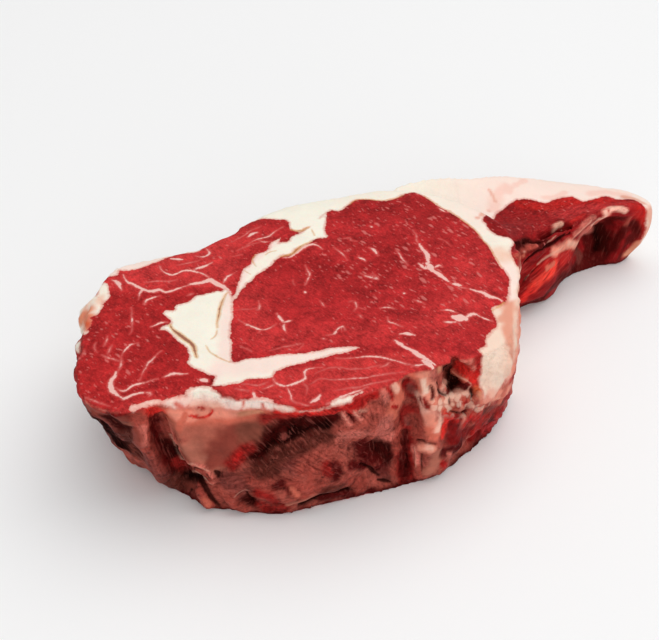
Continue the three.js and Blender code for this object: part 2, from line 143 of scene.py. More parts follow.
# Threads of fat in the cut faces: name, width in the middle, and the line.
FAT_THREADS = [
    ("far muscle, long", 1.5, [(-95, -8.5), (-93.5, -12.5), (-91, -14.5), (-88.5, -16.5), (-84.5, -19),
        (-81, -18), (-78.5, -19.5), (-74.5, -18), (-70.5, -15.5)]),
    ("far muscle, long, end", 2.4, [(-70.5, -15.5), (-66.5, -14.5), (-63.5, -13), (-60.5, -16),
        (-58, -17.5), (-56, -20.5)]),
    ("far muscle, branch", 1.3, [(-63.5, -12.5), (-66.5, -9.5), (-70.5, -8), (-74, -8), (-77, -10),
        (-80.5, -8.5), (-82.5, -4.5)]),
    ("far muscle, spur", 1.4, [(-70, -7.5), (-67, -5.5), (-63.5, -3)]),
    ("by the wedge", 1.2, [(-59, -15.5), (-57.5, -12), (-55.5, -9.5)]),
    ("far corner", 1.6, [(-98.5, -11), (-96, -13.5), (-94.5, -17)]),
    ("left muscle, crook", 1.1, [(-88, -23.5), (-88, -20), (-87, -18), (-83.5, -19.5), (-81, -19)]),
    ("left muscle, bow", 1.3, [(-85.5, -26.5), (-85, -24.5), (-83, -23), (-80.5, -22)]),
    ("left muscle, upright", 0.8, [(-90, -27.5), (-89, -33), (-88.5, -39.5), (-89, -42)]),
    ("left muscle, upright, bright", 1.2, [(-89, -32.5), (-89, -36.5)]),
    ("left muscle, dashes", 0.9, [(-96.5, -42.5), (-96.5, -45), (-97, -47.5)]),
    ("left muscle, second dashes", 0.9, [(-94.5, -47.5), (-95, -50), (-95.5, -52)]),
    ("left muscle, third dashes", 0.8, [(-100, -45.5), (-100.5, -48), (-99, -50.5)]),
    ("left muscle, veil", 0.9, [(-97.5, -52), (-95.5, -53.5), (-93.5, -54), (-91.5, -55), (-90, -56)]),
    ("left muscle, faint dash", 0.7, [(-103.5, -48), (-104, -52)]),
    ("left rim", 0.8, [(-102, -69), (-99, -71.5), (-96, -73.5), (-92, -75.5)]),
    ("left muscle, dash", 0.9, [(-71, -21.5), (-69, -20.5)]),
    ("near hook, stem", 0.9, [(-90.5, -53), (-90.5, -55.5), (-90.5, -58.5), (-91.5, -60.5)]),
    ("near hook, bend", 2.2, [(-91.5, -60.5), (-92, -62.5), (-93, -65), (-92, -69), (-89.5, -71.5)]),
    ("near hook, foot", 1.7, [(-89.5, -71.5), (-87.5, -73), (-84.5, -72), (-81.5, -71)]),
    ("near hook, tip", 1.0, [(-81.5, -71), (-79, -71), (-79.5, -72.5)]),
    ("near muscle, inner", 1.2, [(-91.5, -67.5), (-88, -69.5), (-85.5, -67.5), (-82, -66), (-77.5, -64)]),
    ("near muscle, inner end", 1.5, [(-75.5, -63.5), (-73.5, -62.5), (-71, -62), (-68, -62)]),
    ("near muscle, leg", 1.0, [(-83.5, -65), (-83, -62.5), (-82, -59), (-80, -54.5), (-77.5, -51)]),
    ("near muscle, fuzz", 1.2, [(-90.5, -53), (-89.5, -50), (-88, -47.5), (-85.5, -46.5)]),
    ("by the wedge, smear", 1.3, [(-82, -38), (-79, -36), (-77, -36)]),
    ("by the wedge, spur", 1.5, [(-78.5, -40), (-76.5, -39), (-74.5, -40.5)]),
    ("back rim, blob", 1.9, [(-78.5, 0), (-74.5, -1)]),
    ("back rim, fold", 1.3, [(-69.5, 1.5), (-66.5, 0.5), (-65, 3), (-66.5, 7.5)]),
    ("low seam, dot", 2.6, [(-63.5, -65), (-61.5, -65.5)]),
    ("back muscle, blob", 1.8, [(-51.5, 13), (-49.5, 15), (-48, 15.5)]),
    ("back muscle, long", 1.0, [(-51.5, 7.5), (-48, 11), (-44.5, 12.5), (-41, 16.5), (-38.5, 19)]),
    ("back muscle, under it", 1.0, [(-47.5, 10.5), (-45, 9), (-42.5, 9.5)]),
    ("back muscle, faint", 0.6, [(-56.5, 0.5), (-53, 2)]),
    ("beside the seam", 1.5, [(-38.5, -0.5), (-35.5, 0), (-33, 3.5), (-30.5, 6), (-27.5, 7.5), (-25.5, 6.5),
        (-24, 4.5)]),
    ("far muscle, lower", 0.8, [(-87, -14), (-83, -13.5), (-79, -14), (-75, -13)]),
    ("far muscle, streak", 0.8, [(-76, -4.5), (-72, -3.5), (-68, -1.5)]),
    ("back muscle, second", 0.8, [(-58, 10), (-54, 13), (-50.5, 17), (-47, 19.5)]),
    ("back muscle, third", 0.7, [(-55, 4), (-51, 7), (-47, 9)]),
    ("strip, lace", 1.3, [(-40, -64), (-38.5, -67), (-36, -68), (-33.5, -67.5), (-31.5, -66.5),
        (-29.5, -64.5), (-29.5, -61.5), (-28, -60), (-24, -59.5)]),
    ("strip, lace, leg", 1.0, [(-35.5, -67.5), (-34.5, -71), (-33.5, -74.5), (-32, -76)]),
    ("strip, lace, foot", 0.8, [(-32.5, -75.5), (-29.5, -76.8), (-26.5, -76.8)]),
    ("strip, lace, arm", 1.0, [(-43, -69.5), (-41, -68.5), (-39, -67.5)]),
    ("strip, lace, drop", 1.7, [(-46, -71), (-45.5, -73), (-45, -75)]),
    ("strip, inner bow", 0.7, [(-30, -66.5), (-28.5, -69.5), (-29, -72)]),
    ("strip, blob", 1.6, [(-27.5, -75.5), (-25.5, -74), (-24.5, -72)]),
    ("strip, top long", 1.1, [(-19, -55), (-14, -55), (-8, -54), (-3, -55), (1.5, -56.3), (8, -59)]),
    ("strip, upper long", 0.7, [(-26, -62.5), (-22, -60), (-18, -59.6), (-13, -60.3), (-7, -59),
        (-1, -58.6)]),
    ("strip, middle", 0.9, [(-28, -67.5), (-24.5, -65), (-20, -65.3), (-14.5, -65), (-9, -64.3),
        (-4, -62.8), (3.5, -61)]),
    ("strip, low", 0.8, [(-20, -70.5), (-15, -69.5), (-9.5, -68.5), (-5, -66.5), (0, -64.5)]),
    ("strip, tick", 1.0, [(-5, -59.5), (-3, -58.5), (-1.5, -57)]),
    ("strip, rim light", 1.2, [(-22.5, -76), (-20, -74.8), (-17, -73), (-13, -71), (-9, -69.3)]),
    ("strip, far left streak", 0.8, [(-56, -66), (-52, -65.5), (-48, -65.8)]),
    ("strip, left faint", 0.8, [(-50, -67.5), (-45, -68), (-41, -66)]),
    ("strip, left faint, lower", 0.8, [(-52, -69.5), (-47.5, -70.5)]),
    ("eye, upright", 1.0, [(-30, -5), (-28.5, -9), (-29, -13), (-30, -16.5)]),
    ("eye, below upright", 1.3, [(-30, -20), (-30, -21)]),
    ("eye, slip", 0.5, [(-34.5, -13), (-33.5, -16.5)]),
    ("eye, comma", 0.9, [(-24.5, -25), (-24, -26.5), (-23, -28)]),
    ("eye, bird", 0.9, [(-14.5, -25.5), (-13, -25), (-12, -28), (-13, -30.5)]),
    ("eye, bird's tail", 0.6, [(-12, -28), (-9, -29.5)]),
    ("eye, star", 1.4, [(-39.5, -31.5), (-38, -34.5), (-36.5, -36)]),
    ("eye, star's arm", 1.3, [(-37.5, -36), (-36, -35.8), (-34.5, -35.3)]),
    ("eye, star's leg", 1.1, [(-36.5, -36), (-37, -38.5), (-36, -42)]),
    ("eye, garland", 1.1, [(-52.5, -34.5), (-50, -37), (-47.5, -38.5), (-44.5, -40), (-42, -39.5),
        (-39.5, -37)]),
    ("eye, garland's knot", 0.8, [(-44.5, -40), (-45.5, -41.5)]),
    ("eye, boot", 0.9, [(-46, -24.5), (-45.5, -28), (-46, -30), (-47, -29)]),
    ("eye, bootlace", 0.5, [(-54.5, -30), (-51, -29.5), (-47, -29)]),
    ("eye, gull", 1.1, [(-22.5, -43), (-20, -42.5), (-18.5, -40), (-17, -38.5), (-16, -41)]),
    ("eye, dot", 0.9, [(-37.5, -45.5), (-37, -45.5)]),
    ("eye, low dot", 1.0, [(-24, -45), (-23, -45.5)]),
    ("eye, low", 0.7, [(-41, -51), (-37, -49.5), (-33, -48), (-30, -48)]),
    ("eye, low fork", 0.7, [(-33, -47.5), (-31, -47.5), (-30, -48), (-31.5, -50), (-32.5, -51)]),
    ("eye, low left", 0.7, [(-51, -48.5), (-47.5, -51.5)]),
    ("eye, tick", 1.0, [(-1.5, -33.5), (-1, -36), (1, -37), (3.5, -38.5)]),
    ("eye, dash", 1.1, [(-4, -28.5), (-2, -28), (1, -29)]),
    ("eye, arrowhead", 1.0, [(-10.5, -9.5), (-8, -11), (-4.5, -12.5), (-6, -9.5)]),
    ("eye, mid bead", 1.4, [(-11, 0), (-9.5, -1), (-8.5, -2.5)]),
    ("eye, high bead", 1.3, [(-7, 5.5), (-5.5, 4.5), (-4, 1)]),
    ("eye, long slip", 1.0, [(3, 4.5), (4.5, 0), (6.5, -4.5)]),
    ("eye, back slip", 0.9, [(-20, 6), (-17.5, 3.5), (-15, -2)]),
    ("eye, hook at the back", 0.7, [(-16.5, 11.5), (-14, 11.5), (-13.5, 10), (-11.5, 9.5)]),
    ("eye, bead at the back", 1.3, [(-6.5, 19), (-5.5, 18.5)]),
    ("eye, pip", 1.4, [(4.5, -20), (5, -20.5)]),
    ("eye, short slip", 0.9, [(-11.5, -32.5), (-10, -34.5)]),
    ("eye, slanting slip", 1.0, [(8, -24), (10, -25), (11.5, -26.5)]),
    ("eye, triangle", 1.8, [(2.5, -42.5), (4.5, -42), (7, -43)]),
    ("great vein, top", 0.8, [(9.5, 17), (10.5, 13.5), (10.5, 10), (12, 6.5)]),
    ("great vein, middle", 2.0, [(11.5, 8), (12, 6.5), (13.5, 3), (14, -0.5), (14, -5)]),
    ("great vein, knot", 3.2, [(13.5, -4), (14, -4.5), (15.5, -8)]),
    ("great vein, lower", 2.2, [(15, -7), (18, -10.5), (20.5, -13.5)]),
    ("great vein, neck", 0.9, [(20, -13.5), (22, -15), (28, -17)]),
    ("great vein, bead", 1.9, [(22, -15), (25, -15)]),
    ("great vein, end", 1.8, [(28, -17), (31.5, -17.5), (34.5, -19.5), (37.5, -20), (39, -21)]),
    ("great vein, left arm", 1.5, [(10.5, -3.5), (12.5, -6.5), (14.5, -7)]),
    ("great vein, right arm", 1.1, [(16, -7), (17.5, -4.5), (19, -5.5)]),
    ("patch", 4.6, [(21.5, -32.5), (25, -33)]),
    ("patch, upper left arm", 1.3, [(17.5, -29), (20.5, -29), (22.5, -30)]),
    ("patch, lower left arm", 1.3, [(17.5, -35), (20, -35.5), (22.5, -35)]),
    ("patch, right arm", 1.6, [(25.5, -32), (28.5, -29.5), (30.5, -30.5)]),
    ("patch, tip", 1.2, [(30.5, -30.5), (32.5, -31.5), (34.5, -32)]),
    ("strip seam, left", 1.8, [(0.5, -45.5), (2.5, -47.5), (5, -49.5)]),
    ("strip seam, right", 2.6, [(4, -49), (7.5, -52), (10, -54.5), (13, -57.5)]),
    ("strip seam, end", 2.8, [(9.5, -56), (11, -58), (12.5, -60)]),
    ("strip seam, fork", 1.3, [(6, -58.3), (9, -58.3), (11, -58.5)]),
    ("eye, right, faint", 0.6, [(18.5, 11.5), (21, 10), (23, 7.5)]),
    ("eye, border sliver", 1.2, [(19.5, 32), (21.5, 29.5), (23, 29)]),
]

# Cracks and creases in the fat and along it, painted ochre and brown as shade in them, and painted shade
# lines along steps at the eye's border: name, width, line.
CRACKS_AND_SHADE_LINES = [
    ("wedge, left", 2.2, [(-76, -37.5), (-74, -40.5), (-71, -44), (-68, -47), (-66.5, -50), (-65.5, -54)]),
    ("wedge, right", 1.4, [(-57, -20), (-58.5, -24), (-59, -27.5), (-59.5, -32.5), (-59.5, -39)]),
    ("wedge, right, end", 0.6, [(-59.5, -40), (-60, -43), (-61.5, -45)]),
    ("wedge, low", 0.7, [(-63, -48.5), (-61, -51.5), (-58, -54.5), (-54.5, -56.5)]),
    ("seam, at the cap", 1.1, [(-35.5, 17), (-33.5, 16), (-31, 16.5), (-29, 18.5)]),
    ("seam, at the cap, right", 0.7, [(-28, 17), (-27, 13.5)]),
    ("seam, under the chunk", 1.2, [(-39.5, 0), (-35, 2), (-33, 5), (-30.5, 7.5), (-28, 9)]),
    ("seam, fold", 0.5, [(-48, 1.5), (-49, -2), (-47.5, -5.5)]),
    ("seam, second fold", 0.5, [(-44.5, 1.5), (-43, 3), (-40.5, 3.5)]),
    ("seam, third fold", 0.4, [(-52, -8), (-49.5, -10)]),
    ("right strip, across", 0.6, [(32.5, -49), (35.5, -48), (39, -45.5)]),
    ("right strip, at the great vein", 0.6, [(35.5, -26.5), (38, -23.5), (40, -21.5)]),
    ("eye's right edge", 0.5, [(14.5, 39.5), (18, 35.5), (23.5, 30), (28, 25), (32.5, 18), (35.5, 10.5),
        (38, 3.5), (40.5, -2.5)]),
    ("eye's back edge", 0.5, [(-14, 33), (-11.5, 36.3), (-7, 37.2), (-2, 36), (3, 37.2), (7, 40.5)]),
]

# The right strip of fat ends part of the way down the side: at what height, and between which places,
# from front to back, that height sinks to the table.
STRIP_FOOT = 28
STRIP_FOOT_FADES = (-38, -14)

# Patches of livelier and quieter lean on the cut: name, paint, share, reach and line.
LEAN_TINTS = [
    ("eye, at the back", "quiet", 0.8, 9, [(-14, 30), (-4, 31), (8, 34), (16, 28)]),
    ("eye, middle", "quiet", 0.7, 10, [(-24, -10), (-14, -14), (-4, -8), (2, 6)]),
    ("eye, by the seam", "quiet", 0.6, 6, [(-38, -6), (-30, -1), (-24, -4)]),
    ("eye, left", "lively", 0.7, 9, [(-50, -26), (-46, -40), (-36, -48)]),
    ("eye, right", "lively", 0.6, 9, [(30, -6), (26, -24), (14, -38)]),
    ("eye, low", "lively", 0.5, 7, [(-26, -42), (-12, -44), (2, -40)]),
    ("left muscle, middle", "quiet", 0.5, 8, [(-84, -44), (-78, -52)]),
    ("back muscle", "lively", 0.6, 8, [(-60, 6), (-50, 14)]),
    ("far muscle", "lively", 0.5, 9, [(-90, -12), (-74, -8), (-64, 2)]),
    ("strip, light", "lively", 0.35, 6, [(-46, -70), (-34, -66), (-22, -60)]),
    ("tail, far end", "lively", 0.6, 6, [(70, 56), (82, 62), (96, 63)]),
]

# Tints on the fat: name, paint, reach and line.
FAT_TINTS = [
    ("strip, all", "peach", 9, [(43, 0, 46), (44, -14, 44), (42, -30, 40), (38, -44, 36)]),
    ("right wall, high", "blush", 9, [(47, 10, 36), (47, -2, 36), (47, -14, 35)]),
    ("right wall, low", "pale", 9, [(47, 8, 20), (47, -4, 20), (46, -18, 20)]),
    ("strip, outer", "rosy", 5, [(46, -8, 42), (46, -20, 39.5), (46, -29, 37), (44, -36, 33),
        (42, -40, 28)]),
    ("strip, outer, low", "pink", 5.5, [(47, -14, 31), (46, -26, 29), (44, -34, 27), (38, -44, 24)]),
    ("strip, foot", "side", 9, [(46, -8, 13), (44, -26, 12), (40, -38, 12)]),
    ("strip, tan spot", "pale", 1.6, [(39.8, -26.5, 46), (37.4, -31, 46.6)]),
    ("strip, foot of the cores", "blush", 3, [(34, -51, 31), (37, -48, 27), (40, -43, 26)]),
    ("strip, core", "butter", 3.5, [(36, -36, 47), (35.5, -44, 47), (35.5, -47, 43), (35.5, -47.5, 41)]),
    ("strip, low core", "butter", 3, [(35.5, -48, 37), (36.5, -47.5, 33)]),
    ("strip, outer rim", "edge", 3, [(43.5, -8, 46.5), (42, -16, 46.5), (41, -25, 46), (40, -33, 45.5),
        (39.5, -38.5, 43.5), (41, -40.5, 38)]),
    ("strip, top edge", "rosefat", 4, [(43, -2, 47), (44, -9, 47), (42, -16, 46.5)]),
    ("front band", "faint", 5, [(-84, -77.5, 48), (-74, -74, 47), (-62, -71, 47), (-50, -73.5, 47),
        (-38, -76.5, 48)]),
    ("front band, cream", "fat", 3, [(-64, -69, 49.5), (-60, -69, 49.5), (-50, -71, 49)]),
    ("front band, light", "rosefat", 2, [(-55.5, -72, 47.5), (-50.5, -73.5, 48), (-45.5, -74.5, 48.5),
        (-40.5, -76, 49)]),
    ("front band, rosy", "blush", 2, [(-67, -72.5, 44.5), (-62.5, -71.5, 44.5), (-58, -72, 44.5)]),
    ("front band, tan", "edge", 2.2, [(-72, -75, 43.5), (-62, -72.5, 42), (-52, -73, 42.5),
        (-42, -75, 44)]),
    ("front band, red streak", "pink", 0.6, [(-49, -73.5, 48.5), (-50, -74, 45)]),
    ("front band, second red streak", "pink", 0.6, [(-43, -74.5, 48.5), (-42.5, -75, 46)]),
    ("front band, left streak", "pink", 1.2, [(-71, -74.5, 48), (-69, -74, 45.5)]),
    ("left knob, warm side", "butter", 2.6, [(-107, -20, 44), (-106.5, -22, 47)]),
    ("left knob, right side", "peach", 2, [(-101.5, -20, 49), (-101.5, -24, 49)]),
    # Painted shade on the knob's lower side, in apricot and rust.
    ("left knob, shade", "apricot", 3.4, [(-108, -26.5, 44), (-105.5, -27, 47.5), (-106, -31.5, 45),
        (-104.5, -31.5, 48.5), (-104, -35.5, 48.5)]),
    ("left knob, orange", "rust", 1.6, [(-105, -33, 47), (-103.5, -36, 48.5)]),
    ("tail, first vein", "blush", 1.0, [(34, 26.5, 48.5), (36, 29.5, 48.5), (41.5, 50, 35.5)]),
    ("tail, root", "faint", 3.2, [(44, 52, 35), (45, 60, 35), (49, 66, 34.5)]),
    ("tail, second vein", "blush", 0.9, [(42.5, 63, 36), (43.5, 60.5, 35), (44.5, 57, 34.5)]),
    ("tail, third vein", "faint", 1.6, [(50, 64, 34.5), (53.5, 69, 34), (58, 74, 33)]),
    ("tail, fourth vein", "faint", 1.6, [(65, 64, 31.5), (70, 66, 30.5), (74, 69, 30.5)]),
    ("tail, blush", "faint", 2.4, [(84.5, 70, 29.5), (92, 72.5, 28.5), (100, 70, 28)]),
    ("tail, pink rim", "pale", 1.6, [(98, 69, 28.5), (102, 68, 28.5), (105.5, 65.5, 28)]),
    ("tail, tip", "blush", 3, [(108, 62.5, 25.5), (109.5, 64, 20), (108.5, 62.5, 15)]),
    ("wedge, right edge", "rosefat", 3.0, [(-56.5, -22, 50), (-56.5, -40, 50), (-56, -54, 50)]),
    ("low seam", "rosefat", 5, [(-58, -60, 50), (-45, -59, 50), (-30, -54.5, 50), (-14, -50, 50)]),
    ("seam, left edge", "rosefat", 2.0, [(-54, -17, 50), (-50, -5, 50), (-46, 2, 50), (-41, 9, 50)]),
    ("cap, far left", "rosefat", 5, [(-98, -7, 49), (-84, -2, 49), (-70, 6, 49), (-62, 14, 49)]),
]

# Fibres on the sides: name, which way they run, how strongly they show, reach and line.
FIBRES = [
    ("hollow", (0.62, 0, -0.78), 1, 9, [(-46, -76, 28), (-34, -75, 34), (-20, -75, 40), (-12, -73, 40)]),
    ("bright fibres", (0.8, 0, -0.6), 0.9, 7, [(-36, -78, 22), (-22, -76, 22), (-12, -72, 24)]),
    ("low front", (0.95, 0, 0.3), 0.6, 9, [(-58, -77, 10), (-42, -79, 9), (-28, -78, 9)]),
    ("corner wall", (0.12, 0, -1), 0.9, 8, [(-8, -71, 44), (-2, -67, 34), (0, -65, 16)]),
    ("corner", (0.12, 0, -1), 0.25, 9, [(10, -62, 44), (12, -64, 30), (14, -64, 12)]),
    ("groove", (0.25, 0, -0.97), 0.8, 8, [(-79, -75, 38), (-74, -71, 16)]),
    ("left end", (0.6, -0.45, -0.65), 0.6, 10, [(-103, -64, 40), (-94, -72, 32), (-88, -68, 20)]),
    ("membrane", (0.5, 0, -0.86), 0.25, 9, [(-66, -74, 40), (-62, -75, 28)]),
    ("right wall", (0.6, 0.5, 0.6), 1, 9, [(30, -51, 24), (41, -40, 22), (45, -26, 22)]),
    ("slab", (0.72, 0.6, 0.35), 1, 9, [(54, 27, 18), (68, 37, 20), (80, 52, 20)]),
    ("tail's lean", (0.75, 0.6, 0), 0.7, 10, [(56, 45, 32), (80, 58, 30)]),
    ("tail's end", (0.2, 0.1, 0.97), 0.4, 8, [(90, 61, 12), (104, 62, 18)]),
]
